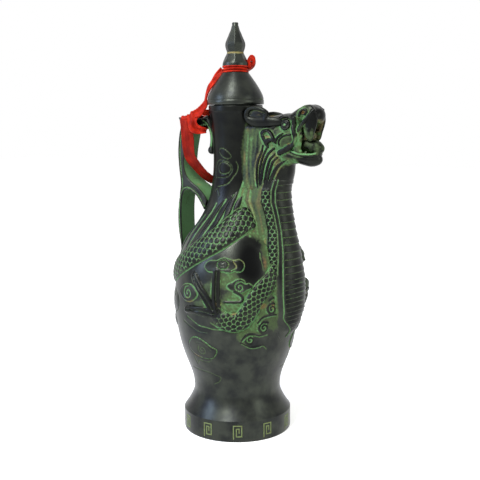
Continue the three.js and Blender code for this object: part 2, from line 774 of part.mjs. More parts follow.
function lidPlug() {
  const top = lidSeat - seamGap;
  const low = rimHeight - plugDepth;
  const chamfer = plugWall / 3;
  const section = [
    [plugRadius - chamfer, low], [plugRadius, low + chamfer], [plugRadius, top],
    [plugRadius - plugWall, top], [plugRadius - plugWall, low],
  ];
  return revolve([...section, section[0]]);
}

// Finial: a neck for the ribbon, a wide bulb, a waist, a tall bulb and a stub, on a tang.
const finialFoot = domeTop + seamGap;
const bulbFoot = finialFoot + finialNeckHeight;
const finialShares = [
  // share of the bulb's radius, share of the finial's height
  [1, 0.02], [0.97, 0.07], [0.83, 0.13], [0.7, 0.19], [0.61, 0.25], [0.62, 0.29],
  [0.69, 0.35], [0.735, 0.42], [0.7, 0.5], [0.6, 0.57], [0.53, 0.64], [0.46, 0.71],
  [0.33, 0.8], [0.25, 0.87], [0.23, 0.96], [0.17, 1],
];
function finial() {
  const bulbs = finialShares.map(([out, up]) => (
    [out * finialRadius, bulbFoot + up * finialHeight]
  ));
  const tip = bulbFoot + finialHeight;
  return revolve([
    [0, domeTop - tangDepth], [tangRadius, domeTop - tangDepth], [tangRadius, finialFoot],
    [finialNeckRadius, finialFoot], [finialNeckRadius, bulbFoot],
    ...bulbs, [0, tip],
  ], 14);
}

// Ribbon round the finial's neck, in two turns that overlap into a soft ring.
const tieMiddle = finialFoot + finialNeckHeight / 2;
const tieRadius = finialNeckRadius + seamGap + tieBulk;
function ribbonFinialTie() {
  const inner = finialNeckRadius + seamGap;
  const low = tieMiddle - tieHeight / 2;
  const section = [
    [inner, low], [inner + tieBulk * 0.7, low], [tieRadius, low + tieHeight * 0.2],
    [tieRadius - tieBulk * 0.15, low + tieHeight * 0.5], [tieRadius * 0.99, low + tieHeight * 0.78],
    [inner + tieBulk * 0.6, low + tieHeight], [inner, low + tieHeight],
  ];
  return revolve([...section, section[0]], 20);
}

// Directions round the pot for the ribbon, in degrees from the spout.
const bowTurn = 30;
const tetherTurn = 206;
const aside = (degrees, radius, height) => {
  const turn = THREE.MathUtils.degToRad(degrees);
  return new THREE.Vector3(radius * Math.cos(turn), radius * Math.sin(turn), height);
};

function ribbonBowLoop() {
  const foot = aside(bowTurn, tieRadius + seamGap + ribbonThickness / 2, tieMiddle - tieHeight * 0.3);
  const out = aside(bowTurn, 1, 0);
  const loopPoints = [[0, 0], [0.5, 0.1], [0.95, 0.4], [0.95, 0.8], [0.55, 1], [0.2, 0.75], [0.05, 0.4], [0, 0.12]];
  const points = loopPoints.map(([side, up]) => {
    const at = foot.clone().addScaledVector(out, side * bowLoopWidth);
    at.z += up * bowLoopHeight;
    return at;
  });
  const across = aside(bowTurn + 90, 1, 0);
  const stations = new THREE.CatmullRomCurve3(points).getPoints(16).map((at) => (
    { at, across, width: ribbonWidth * 0.42 }
  ));
  return strip(stations, ribbonThickness);
}

// The stretch from the lid to the handle: off the tie, over the dome's edge, to the bar.
const barTop = handleTopHeight;
const knotReach = handleReach * 0.765;
const barKnot = new THREE.Vector3(-knotReach, -handleWidth * 0.16, barTop);
function ribbonTether() {
  const clear = ribbonThickness + seamGap;
  const start = aside(tetherTurn, tieRadius + clear, tieMiddle);
  const shoulder = aside(tetherTurn, domePoints[4][0] + clear * 2, domePoints[5][1]);
  const edge = aside(tetherTurn - 5, lidRadius + clear * 1.6, domeFoot + lidRimHeight);
  const below = aside(tetherTurn - 12, lidRadius + tetherSlack + clear * 3, lidSeat - lidRimHeight);
  const end = barKnot.clone();
  end.z += knotBulk + seamGap * 2 + ribbonThickness;
  for (const point of [shoulder, edge, below]) point.z = Math.max(point.z, end.z);
  const widthShares = [0.4, 0.5, 0.55, 0.7, 0.8];
  const points = [start, shoulder, edge, below, end];
  const run = new THREE.CatmullRomCurve3(points, false, 'centripetal');
  const steps = 16;
  const stations = Array.from({ length: steps + 1 }, (_, step) => {
    const share = step / steps;
    const slot = Math.min(3, Math.floor(share * 4));
    const part = share * 4 - slot;
    const width = widthShares[slot] * (1 - part) + widthShares[slot + 1] * part;
    return { at: run.getPoint(share), across: aside(tetherTurn + 90, 1, 0), width: width * ribbonWidth };
  });
  return strip(stations, ribbonThickness);
}

// The knot is a soft sleeve round the handle's top bar.
function sleeveRing(x, bulk) {
  const half = handleWidth / 2 + seamGap + bulk;
  const top = barTop + seamGap + bulk;
  const low = barUnderside - seamGap - bulk - knotDrop;
  const corner = knotBulk * 0.4;
  return [
    [-half + corner, low], [half - corner, low], [half, low + corner], [half, top - corner],
    [half - corner, top], [-half + corner, top], [-half, top - corner], [-half, low + corner],
  ].map(([y, z]) => new THREE.Vector3(x, y, z));
}

function ribbonHandleTie() {
  const from = -knotReach - knotLength / 2;
  const bulkShares = [0.45, 0.85, 1, 0.9, 0.5];
  const rings = bulkShares.map((bulk, index) => (
    sleeveRing(from + knotLength * index / (bulkShares.length - 1), knotBulk * bulk)
  ));
  return loft(rings).subtract(handlePlate(seamGap));
}

// The loose end hangs from the knot down the inside of the strap and lies on the branch.
function ribbonTail() {
  const inside = (heightShare, reachShare, side, lift = 0) => {
    const point = handlePoint(reachShare, heightShare);
    return new THREE.Vector3(point.x, side * handleWidth, point.y + lift);
  };
  const top = barUnderside - seamGap * 2 - knotBulk - knotDrop - ribbonThickness;
  const start = new THREE.Vector3(-knotReach * 1.03, -handleWidth * 0.22, top);
  const points = [
    start,
    inside(0.8, 0.825, -0.25),
    inside(0.7, 0.81, -0.22),
    inside(0.635, 0.74, -0.1),
    inside(0.595, 0.64, 0.05),
    inside(0.565, 0.55, 0.25, seamGap),
  ];
  const run = new THREE.CatmullRomCurve3(points, false, 'centripetal');
  const steps = 14;
  const turnShares = [0.35, 0.55];
  const stations = Array.from({ length: steps + 1 }, (_, step) => {
    const share = step / steps;
    const lean = turnShares[0] + (turnShares[1] - turnShares[0]) * Math.sin(share * Math.PI);
    const across = new THREE.Vector3(lean * (1 - share), 1, 0);
    return { at: run.getPoint(share), across, width: ribbonWidth * 0.9 };
  });
  return strip(stations, ribbonThickness);
}

const pieces = [
  ['pot_foot', potFoot(), darkBronze],
  ['pot_belly', potBelly(), darkBronze],
  ['pot_body', potBody(), darkBronze],
  ['pot_neck', potNeck(), darkBronze],
  ['base_plate', basePlate(), darkBronze],
  ['spout_neck', spoutNeck(), greenBronze],
  ['dragon_head', dragonHead(), greenBronze],
  ['horn_right', horn(-1), darkBronze],
  ['horn_left', horn(1), darkBronze],
  ['handle', handle(), greenBronze],
  ['handle_scroll', handleScroll(), darkBronze],
  ['lid_dome', lidDome(), darkBronze],
  ['lid_plug', lidPlug(), darkBronze],
  ['lid_finial', finial(), darkBronze],
  ['ribbon_finial_tie', ribbonFinialTie(), redSatin],
  ['ribbon_bow_loop', ribbonBowLoop(), redSatin],
  ['ribbon_tether', ribbonTether(), redSatin],
  ['ribbon_handle_tie', ribbonHandleTie(), redSatin],
  ['ribbon_tail', ribbonTail(), redSatin],
];

const winePot = new THREE.Group();
for (const [name, body, material] of pieces) winePot.add(pieceMesh(name, body, material));

export default winePot;
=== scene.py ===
"""Dresses the bronze wine pot: cast relief, dragon spout, handle, lid and red ribbon.

Lengths inside the functions are millimetres; meshes are written in metres. The pot stands
on z = 0 with its axis on Z, the spout towards +X and the handle towards -X. Angles on the
pot are degrees round from the spout, so the side that faces the camera is negative.
"""
import math

import bmesh
import bpy
import numpy as np
import openvdb
from mathutils import Matrix, Vector


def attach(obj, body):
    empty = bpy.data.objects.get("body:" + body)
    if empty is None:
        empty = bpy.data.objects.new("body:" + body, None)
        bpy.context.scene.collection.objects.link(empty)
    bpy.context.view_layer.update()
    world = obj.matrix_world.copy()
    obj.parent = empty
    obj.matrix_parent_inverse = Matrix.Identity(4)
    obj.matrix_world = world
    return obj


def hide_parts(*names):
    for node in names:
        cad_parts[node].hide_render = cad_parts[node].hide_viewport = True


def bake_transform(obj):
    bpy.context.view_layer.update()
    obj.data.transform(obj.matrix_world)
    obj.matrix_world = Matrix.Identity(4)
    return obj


bl_info = {
    "name": "Bronze Wine Pot", "version": (1, 0, 0), "blender": (4, 5, 0),
    "location": "View3D > Sidebar > Wine Pot",
    "description": "Cast relief, patina and ribbon for a bronze wine pot", "category": "Object"}

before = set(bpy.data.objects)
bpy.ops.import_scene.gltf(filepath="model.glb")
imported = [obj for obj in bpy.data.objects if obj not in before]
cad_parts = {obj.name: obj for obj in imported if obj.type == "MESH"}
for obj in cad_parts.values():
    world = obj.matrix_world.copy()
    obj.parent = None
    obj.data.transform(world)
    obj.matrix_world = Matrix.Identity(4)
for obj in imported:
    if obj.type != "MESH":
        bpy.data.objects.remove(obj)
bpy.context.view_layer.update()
MM = 0.001


# Numbers


def smooth(low, high, value):
    """0 below low, 1 above high, and an even turn between."""
    share = np.clip((value - low) / (high - low), 0, 1)
    return share * share * (3 - 2 * share)


def spline(points, step=1.5):
    """A Catmull-Rom curve through the points, as an array with a point about every step.

    Columns past the third, such as a limb's half widths, follow along.
    """
    points = np.asarray(points, float)
    ends = np.vstack([2 * points[0] - points[1], points, 2 * points[-1] - points[-2]])
    run = []
    for before, start, end, after in zip(ends, ends[1:], ends[2:], ends[3:]):
        count = max(2, int(np.linalg.norm((end - start)[:3]) / step))
        t = np.linspace(0, 1, count, endpoint=False)[:, None]
        run.append(0.5 * (2 * start + (end - before) * t + (2 * before - 5 * start + 4 * end - after) * t ** 2
            + (3 * start - before - 3 * end + after) * t ** 3))
    return np.vstack([*run, points[-1:]])


def closed_spline(points, step=1.0):
    """The same curve through a ring of points, back to its start."""
    ring = np.asarray(points, float)
    doubled = spline(np.vstack([ring[-2:], ring, ring[:3]]), step)
    first = np.argmin(np.linalg.norm(doubled - ring[0], axis=1))
    last = len(doubled) - 1 - np.argmin(np.linalg.norm(doubled[::-1] - ring[0], axis=1))
    return doubled[first:last]


def lattice_noise(x, y, z, seed=0):
    """Smooth noise from -1 to 1 with features about one unit across, the same in each run."""
    def corner(i, j, k):
        hashed = (i * 374761393 + j * 668265263 + k * 2147483647 + seed * 144665) & 0xFFFFFFFF
        hashed = (hashed ^ (hashed >> 13)) * 1274126177 & 0xFFFFFFFF
        return ((hashed ^ (hashed >> 16)) & 0xFFFF) / 32767.5 - 1

    places = np.broadcast_arrays(x, y, z)
    low = [np.floor(place).astype(np.int64) for place in places]
    part = [smooth(0, 1, place - base) for place, base in zip(places, low)]
    total = 0
    for ends in np.ndindex(2, 2, 2):
        weight = math.prod(share if end else 1 - share for share, end in zip(part, ends))
        total = total + weight * corner(*(base + end for base, end in zip(low, ends)))
    return total


def scale_pattern(run, side, pitch, width):
    """Overlapping scales: how far each point stands on its scale, and its pale outline.

    run is the way along the body towards the tail, side the way across it.
    """
    reach = width * 0.56
    height = np.zeros_like(run)
    outline = np.ones_like(run)
    free = np.ones(run.shape, bool)
    first = np.floor((run - reach / 0.8) / pitch)
    for step in (0, 1, 2, 3):
        row = first + step
        shift = np.mod(row, 2) / 2
        column = np.round(side / width - shift)
        from_root = run - row * pitch
        across = side - (column + shift) * width
        rim = reach - np.hypot(from_root * 0.8, across)
        here = free & (rim > 0)
        height = np.where(here, smooth(0, reach * 0.7, rim) * 0.6 + 0.4, height)
        outline = np.where(here, 1 - smooth(0.3, 0.75, rim), outline)
        free &= ~here
    return height, outline


def inside_ring(x, y, ring):
    """Which points lie inside a closed ring, found by counting the sides that they are left of."""
    odd = np.zeros(np.broadcast(x, y).shape, bool)
    for (x0, y0), (x1, y1) in zip(ring, np.roll(ring, -1, 0)):
        if y0 != y1:
            odd ^= ((y0 > y) != (y1 > y)) & (x < x0 + (y - y0) * (x1 - x0) / (y1 - y0))
    return odd


def nearest(axis, values, step):
    """Which place on an even axis is nearest to each value."""
    return np.clip(np.rint((values - axis[0]) / step).astype(int), 0, len(axis) - 1)


def box_blur(field, axis, count, mode="edge"):
    """The mean over twice count cells along one axis."""
    pad = [(0, 0)] * field.ndim
    pad[axis] = (count, count)
    total = np.cumsum(np.pad(field, pad, mode=mode), axis=axis, dtype=np.float64)
    size, width = total.shape[axis], 2 * count
    ahead, behind = np.take(total, range(width, size), axis), np.take(total, range(size - width), axis)
    return ((ahead - behind) / width).astype(field.dtype)


def around(radius, turn, height):
    """Points at a radius and a height, turned by radians round the pot's axis."""
    return np.stack(np.broadcast_arrays(radius * np.cos(turn), radius * np.sin(turn), height), -1)


def unit(vectors, spare=0.0):
    """The vectors at length 1; spare keeps one without length from dividing by zero."""
    return vectors / (np.linalg.norm(vectors, axis=-1, keepdims=True) + spare)


# Reliefs on a curved skin

PAINT = ("patina", "rust", "polish")


class Skin:
    """A skin laid out flat: u across in its own unit, v up in millimetres.

    mm_per_u gives the real size of a unit of u at each height. Each paint channel and the
    height of the relief are arrays over the skin.
    """

    def __init__(self, u, v, mm_per_u, turn=None):
        self.u, self.v, self.scale, self.turn = u, v, mm_per_u[:, None], turn
        self.shape = (len(v), len(u))
        self.height, self.patina, self.rust, self.polish = np.zeros((4, *self.shape))

    def rows(self, low, high):
        return slice(*np.searchsorted(self.v, [low, high]))

    def across(self, u, rows):
        """Millimetres from u to each point, the short way round a closed skin."""
        away = self.u[None, :] - u
        if self.turn:
            away = (away + self.turn / 2) % self.turn - self.turn / 2
        return away * self.scale[rows]

    def salt(self, share):
        """Lays patina wherever there is less of it than share."""
        self.patina = np.maximum(self.patina, share)

    def along(self, path, reach):
        """Each point's distance from a drawn line, its run along it and its signed side."""
        distance = np.full(self.shape, 99.0)
        run, side = np.zeros((2, *self.shape))
        travelled = 0
        for (u0, v0), (u1, v1) in zip(path[:-1, :2], path[1:, :2]):
            rows = self.rows(min(v0, v1) - reach, max(v0, v1) + reach)
            if rows.stop <= rows.start:
                continue
            middle = self.scale[(rows.start + rows.stop) // 2 - 1, 0]
            dx, dy = (u1 - u0) * middle, v1 - v0
            length = math.hypot(dx, dy) or 1e-6
            x, y = self.across(u0, rows), self.v[rows, None] - v0
            share = np.clip((x * dx + y * dy) / length ** 2, 0, 1)
            away = np.hypot(x - share * dx, y - share * dy)
            near = away < distance[rows]
            for field, value in ((distance, away), (run, travelled + share * length),
                    (side, (y * dx - x * dy) / length)):
                field[rows] = np.where(near, value, field[rows])
            travelled += length
        return distance, run, side, travelled

    def ridge(self, points, half, rise, sharp=1.0, taper=0.0):
        """A raised line: half its width, its rise, and how much it thins towards its ends."""
        distance, run, _, total = self.along(spline(points), half * 2.5)
        thin = 1 - taper * np.abs(2 * run / total - 1) ** 2
        top = np.sqrt(np.clip(1 - (distance / (half * thin)) ** 2, 0, 1)) ** sharp
        self.height = np.maximum(self.height, rise * thin * top)
        self.patina *= 1 - smooth(0.1, 0.5, top)
        self.polish = np.maximum(self.polish, 0.55 * smooth(0.3, 0.8, top))

    def groove(self, points, half, depth, pale=1.0, closed=False):
        """A carved line that has filled with pale patina."""
        path = closed_spline(points) if closed else spline(points)
        distance = self.along(path, half * 3 + 1)[0]
        self.height -= depth * (1 - smooth(half * 0.5, half * 1.3, distance))
        self.salt(pale * (1 - smooth(0.25, max(0.75, half * 1.35), distance)))

    def plateau(self, outline, rise, edge=1.1, dish=0.0, cut=None):
        """A raised shape with rounded edges inside a closed outline, dished if asked.

        cut is the groove round it: half its width, its depth and its patina.
        """
        ring = closed_spline(outline)
        distance = self.along(np.vstack([ring, ring[:1]]), 12)[0]
        rows = self.rows(ring[:, 1].min() - 1, ring[:, 1].max() + 1)
        corners = np.column_stack([(ring[:, 0] - ring[0, 0]) * self.scale[rows].mean(), ring[:, 1]])
        inside = np.zeros(self.shape, bool)
        inside[rows] = inside_ring(self.across(ring[0, 0], rows), self.v[rows, None], corners)
        depth = np.where(inside, distance, 0)
        top = np.sqrt(np.clip(1 - (1 - np.clip(depth / edge, 0, 1)) ** 2, 0, 1))
        top *= 1 - dish * smooth(edge, edge * 3, depth)
        self.height = np.where(inside, np.maximum(self.height, rise * top), self.height)
        self.patina *= 1 - smooth(0.2, 0.6, top)
        if cut:
            self.groove(outline, *cut, closed=True)
        return inside

    def blot(self, channel, u, v, wide, high, strength=1.0):
        """A soft-edged patch of paint."""
        rows = self.rows(v - high * 1.6, v + high * 1.6)
        field = getattr(self, channel)
        away = np.hypot(self.across(u, rows) / wide, (self.v[rows, None] - v) / high)
        field[rows] = np.maximum(field[rows], strength * (1 - smooth(0.55, 1.5, away)))

    def scaled_body(self, points, half, rise, pitch, width, fade_from=0, fade_to=0):
        """A round scaled body laid over the skin, with its ends fading out."""
        distance, run, side, total = self.along(spline(points), half * 1.4)
        ends = np.ones(self.shape)
        if fade_from:
            ends *= smooth(0, fade_from, run)
        if fade_to:
            ends *= 1 - smooth(total - fade_to, total, run)
        arch = np.clip(1 - (distance / (half * (0.55 + 0.45 * ends))) ** 2, 0, 1) ** 0.42
        scale, outline = scale_pattern(run, side, pitch, width)
        cover = smooth(0.25, 0.55, arch) * ends
        body = arch * rise * (0.35 + 0.65 * ends) + cover * (scale * 0.55 - 0.35)
        on_body = arch > 0
        self.height = np.where(on_body, np.maximum(body, self.height * (1 - cover)), self.height)
        self.patina = np.where(on_body, self.patina * (1 - cover) + outline * cover * 0.95, self.patina)
        self.polish = self.polish * (1 - cover) + 0.5 * cover
        return cover


def soften(field, skin, radius):
    """The field blurred over about radius millimetres, wrapped round a closed skin."""
    steps = (float(np.median(np.diff(skin.v))), float(np.median(skin.scale)) * abs(skin.u[1] - skin.u[0]))
    for axis in (0, 1, 0, 1):
        count = max(1, int(round(radius / steps[axis] / 1.4)))
        field = box_blur(field, axis, count, "wrap" if axis == 1 and skin.turn else "edge")
    return field


# Meshes


def new_piece(name, points, faces, material, paint=None):
    """An object at the origin from points in millimetres and quads, with its paint as attributes."""
    mesh = bpy.data.meshes.new(name)
    points = np.asarray(points, np.float32).reshape(-1, 3) * MM
    faces = np.asarray(faces, np.int32)
    mesh.vertices.add(len(points))
    mesh.vertices.foreach_set("co", points.ravel())
    mesh.loops.add(faces.size)
    mesh.loops.foreach_set("vertex_index", faces.ravel())
    mesh.polygons.add(len(faces))
    mesh.polygons.foreach_set("loop_start", np.arange(0, faces.size, faces.shape[1], dtype=np.int32))
    mesh.update(calc_edges=True)
    mesh.validate()
    for channel, values in (paint or {}).items():
        layer = mesh.attributes.new(channel, "FLOAT", "POINT")
        layer.data.foreach_set("value", np.zeros(len(points), np.float32)
            + np.asarray(values, np.float32).ravel())
    mesh.shade_smooth()
    mesh.materials.append(material)
    piece = bpy.data.objects.new(name, mesh)
    bpy.context.scene.collection.objects.link(piece)
    return piece


def grid_faces(rows, columns):
    """Quads between rings of points, each ring wrapping round."""
    row = np.arange(rows - 1)[:, None] * columns
    column = np.arange(columns)[None, :]
    after = (column + 1) % columns
    quads = np.stack([row + column, row + after, row + columns + after, row + columns + column], -1)
    return quads.reshape(-1, 4)


def outward(piece):
    """Turns every face outwards and closes what is left open at doubled points."""
    work = bmesh.new()
    work.from_mesh(piece.data)
    bmesh.ops.remove_doubles(work, verts=work.verts, dist=1e-7)
    bmesh.ops.recalc_face_normals(work, faces=work.faces)
    work.to_mesh(piece.data)
    work.free()
    return piece


def settle(piece, body, slot, *nodes):
    """The piece rides on its body and stands for its nodes, whose parts it hides; slot is not used."""
    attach(piece, body)
    if nodes:
        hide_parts(*nodes)
    return piece


# Materials


def linear(code):
    """A shader colour from an sRGB hex value."""
    channels = [int(code[i:i + 2], 16) / 255 for i in (1, 3, 5)]
    return (*[c / 12.92 if c <= 0.04045 else ((c + 0.055) / 1.055) ** 2.4 for c in channels], 1.0)


def add_node(tree, kind, settings=None, **links):
    """Adds a node, sets its properties and values, and links its inputs.

    settings maps property names and input names to values, and stops gives a colour ramp its
    places with an sRGB hex or grey value each. Each link is an output socket; an input that
    shares its name with another is given as in_0, in_1 and so on.
    """
    node = tree.nodes.new(kind)
    for name, value in (settings or {}).items():
        if name == "stops":
            elements = node.color_ramp.elements
            while len(elements) < len(value):
                elements.new(0.5)
            for element, (place, shade) in zip(elements, value):
                element.position = place
                element.color = linear(shade) if isinstance(shade, str) else (shade, shade, shade, 1)
        elif isinstance(name, int) or name in node.inputs:
            node.inputs[name].default_value = value
        else:
            setattr(node, name, value)
    for name, source in links.items():
        key = int(name[3:]) if name.startswith("in_") else name.replace("_", " ")
        tree.links.new(source, node.inputs[key])
    return node


def new_material(name):
    material = bpy.data.materials.new(name)
    material.use_nodes = True
    tree = material.node_tree
    tree.nodes.clear()
    output = tree.nodes.new("ShaderNodeOutputMaterial")
    return material, tree, output


def patinated_bronze(name, dark, worn, pale, deep, grain):
    """Cast tin bronze, pickled dark and rubbed back, with verdigris left in its hollows.

    The dark skin gives soft grey highlights; the copper salts are matt and chalky green with
    yellow-brown spots. Grain is the sand-cast grit in millimetres.
    """
    material, tree, output = new_material(name)
    place = add_node(tree, "ShaderNodeTexCoord").outputs["Object"]
    patina, rust, polish = (add_node(tree, "ShaderNodeAttribute", {"attribute_name": channel}).outputs["Fac"]
        for channel in PAINT)
    cloud, fleck, grit = (add_node(tree, "ShaderNodeTexNoise", {"Scale": scale, "Detail": detail},
        Vector=place).outputs["Fac"] for scale, detail in ((90.0, 4.0), (620.0, 5.0), (1 / (grain * MM),
        2.0)))

    # The chalky edge of each patch is broken up by flecks about 1.5 mm across.
    share = add_node(tree, "ShaderNodeMath", {"operation": "MULTIPLY", 1: 0.8}, in_0=patina).outputs[0]
    broken = add_node(tree, "ShaderNodeMath", {"operation": "MULTIPLY_ADD", 1: 0.5}, in_0=fleck,
        in_2=share).outputs[0]
    cover, body, salts = (add_node(tree, "ShaderNodeValToRGB", {"stops": stops}, Fac=source).outputs["Color"]
        for stops, source in (([(0.5, 0.0), (0.68, 0.5), (0.87, 1.0)], broken),
        ([(0.35, dark), (0.62, worn)], cloud), ([(0.8, deep), (1.0, pale)], broken)))
    body = add_node(tree, "ShaderNodeMix", {"data_type": "RGBA", 7: linear("#0b0c0c")}, in_0=polish,
        in_6=body).outputs[2]
    brown = add_node(tree, "ShaderNodeMix", {"data_type": "RGBA", 7: linear("#86663a")}, in_0=rust,
        in_6=salts).outputs[2]
    colour = add_node(tree, "ShaderNodeMix", {"data_type": "RGBA"}, in_0=cover, in_6=body,
        in_7=brown).outputs[2]
    rough = add_node(tree, "ShaderNodeMapRange", {3: 0.36, 4: 0.85}, in_0=cover).outputs[0]
    metal = add_node(tree, "ShaderNodeMapRange", {3: 0.9, 4: 0.1}, in_0=cover).outputs[0]
    bump = add_node(tree, "ShaderNodeBump", {"Strength": 0.22, "Distance": 0.12 * MM}, Height=grit)
    shader = add_node(tree, "ShaderNodeBsdfPrincipled", Base_Color=colour, Roughness=rough, Metallic=metal,
        Normal=bump.outputs[0])
    tree.links.new(shader.outputs[0], output.inputs[0])
    return material


# The vessel

FOOT_BAND, WAIST, BELLY_SEAM, MIDDLE_SEAM = 15.5, 32.0, 81.8, 122
SHOULDER_SEAM, COLLAR, RIM = 176.0, 236.0, 241.0
FOOT_RADIUS, COLLAR_RADIUS, WALL = 40.2, 19.7, 2.5
VESSEL_BENDS = (
    # each bend: start, its two guides, end, as radius and height
    ((40.2, 15.5), (37.8, 18.7), (32.3, 26.5), (32.3, 32.0)),
    ((32.3, 32.0), (32.3, 51.0), (45.2, 55.0), (45.2, 98.0)),
    ((45.2, 98.0), (45.2, 165.0), (16.4, 141.5), (16.4, 204.0)),
    ((16.4, 204.0), (16.4, 218.5), (18.3, 232.0), (19.3, 236.0)),
)


def vessel_profile():
    t = np.linspace(0, 1, 80)[:, None]
    bends = [(1 - t) ** 3 * np.array(a) + 3 * (1 - t) ** 2 * t * np.array(b) + 3 * (1 - t) * t ** 2
        * np.array(c) + t ** 3 * np.array(d) for a, b, c, d in VESSEL_BENDS]
    foot = [(FOOT_RADIUS - 0.8, 0), (FOOT_RADIUS - 0.1, 0.7), (FOOT_RADIUS, 1.6),
        (FOOT_RADIUS, FOOT_BAND - 0.3)]
    collar = [(COLLAR_RADIUS, COLLAR + 0.6), (COLLAR_RADIUS, RIM - 0.6), (COLLAR_RADIUS - 0.5, RIM)]
    return np.vstack([foot, *bends, collar])


PROFILE = vessel_profile()


def vessel_radius(height):
    return np.interp(height, PROFILE[:, 1], PROFILE[:, 0])


COIL = [(-17, 164.5), (-34, 162), (-50, 159.5), (-68, 153.5), (-83, 147), (-98, 141), (-113, 134.5),
    (-123, 130), (-150, 119.5), (-180, 112), (-215, 108), (-250, 110), (-285, 117.5), (-312, 122.5),
    (-335, 124.5)]
HIND_BODY = [(-19, 124), (-25, 119.5), (-35, 113.2), (-43, 106.5), (-49, 98.3), (-56, 91.4), (-64, 89.6),
    (-74, 92), (-82, 95.5)]
TOP_CLOUD = [(-92, 128.4), (-90, 131.4), (-86, 132.9), (-79, 133.3), (-76, 134.5), (-72, 135.1), (-67, 134.2),
    (-62, 133.5), (-57, 133.9), (-53, 131.5), (-53, 128.4), (-55, 126.2), (-59, 125.6), (-62, 126.3),
    (-66, 125.0), (-74, 125.8), (-79, 125.9), (-83, 125.1), (-88, 125.6)]
CURL_CLOUD = [(-69, 116), (-67, 117.7), (-64, 118.6), (-61, 120.2), (-57, 120.9), (-53, 119.5), (-52, 117.2),
    (-49, 117.7), (-45, 115), (-48, 113.8), (-51, 113.2), (-53, 112), (-57, 111.1), (-61, 111.6),
    (-64, 112.9), (-66, 113.2)]
PAW_CLOUD = [(-120, 105.2), (-123, 108.5), (-118, 113.2), (-108, 114.9), (-101, 112.1), (-98, 108.1),
    (-101, 104.8), (-108, 102.2), (-115, 102.6)]
LEG_BARS = [[(-77, 97), (-78, 101.4), (-79, 108.6), (-79, 118.3), (-79, 125.5)], [(-81, 98), (-84, 101),
    (-90, 107.8), (-97, 114.5), (-103, 121.1)], [(-80, 95.5), (-88, 96.4), (-99, 97), (-111, 96.2)]]


def shifted(points, hand=1, turn=0.0, lift=0.0):
    """The same drawing elsewhere on the pot, mirrored to the far side where hand is -1."""
    return [(angle * hand + turn, height + lift) for angle, height in points]


def oval(centre, wide, high, count):
    """A ring of points round a place on the vessel."""
    return [(centre[0] + wide * math.cos(a), centre[1] + high * math.sin(a))
        for a in np.linspace(0, math.tau, count, endpoint=False)]


def curl(angle, height, radius, turns, start, hand=1):
    """A spiral line that winds in to a point on the vessel."""
    points = []
    for share in np.linspace(0, 1, int(turns * 9)):
        out = radius * (1 - 0.86 * share)
        turn = start + hand * share * turns * math.tau
        z = height + out * math.sin(turn)
        points.append((angle + math.degrees(out * math.cos(turn) / vessel_radius(z)), z))
    return points


def cloud_relief(skin, hand):
    """The clouds and the clawed leg that fill one side of the belly between the two bodies."""
    for outline in (TOP_CLOUD, CURL_CLOUD, PAW_CLOUD):
        skin.plateau(shifted(outline, hand), 1.3, edge=1.0, dish=0.2, cut=(0.35, 0.35, 0.9))
    boss = (-73 * hand, 130.4)
    skin.plateau(oval(boss, 5.6, 3.1, 10), 2.3, edge=1.6, cut=(0.35, 0.5, 0.75))
    skin.groove(oval(boss, 2.4, 1.3, 8), 0.3, 0.4, 0.5, closed=True)
    skin.groove(shifted([(-63, 132.4), (-60.5, 130), (-61, 128), (-65, 126.7)], hand), 0.4, 0.5, 0.9)
    skin.groove(curl(-57.5 * hand, 115.2, 4.3, 1.5, 0.5 if hand > 0 else 2.6, hand), 0.6, 0.8, 0.95)
    skin.ridge(shifted([(-62, 112), (-58, 110.3), (-55, 108.3), (-55, 106.3), (-57, 104.7), (-62, 104.4),
        (-71, 104.6)], hand), 0.9, 0.9)
    skin.groove(curl(-110 * hand, 108.4, 5.2, 1.5, 1.4, hand), 0.65, 0.75, 0.85)
    for bar in LEG_BARS:
        skin.ridge(shifted(bar, hand), 3.1, 2.1, sharp=0.6, taper=0.12)
        skin.groove(shifted(bar, hand), 0.6, 0.95, 0.1)


def flame(skin, root, tip, bend):
    """A tongue of flame: a raised leaf with a broad pale groove beside it."""
    (a0, z0), (a1, z1) = root, tip
    middle = ((a0 + a1) / 2 - bend, (z0 + z1) / 2)
    skin.ridge([root, middle, tip], 2.9, 1.0, taper=0.75)
    skin.groove([(a0 + 5.5, z0), (middle[0] + 5.5, middle[1]), (a1 + 1.5, z1)], 1.0, 0.7, 0.9)


def haunch_lift(skin):
    """How far the haunch stands off the vessel: an egg let into its side."""
    angle, height, reach, deep, wide, tall = 31.0, 112.0, 54.4, 18.4, 13.0, 30.0
    pot = vessel_radius(skin.v)[:, None]
    aside = np.radians((skin.u[None, :] - angle + 180) % 360 - 180) * pot
    flat = np.clip(1 - (aside / wide) ** 2 - ((skin.v[:, None] - height) / tall) ** 2, 0, 1)
    return np.maximum(0, reach - deep + deep * np.sqrt(flat) - pot) * smooth(0, 0.12, flat)


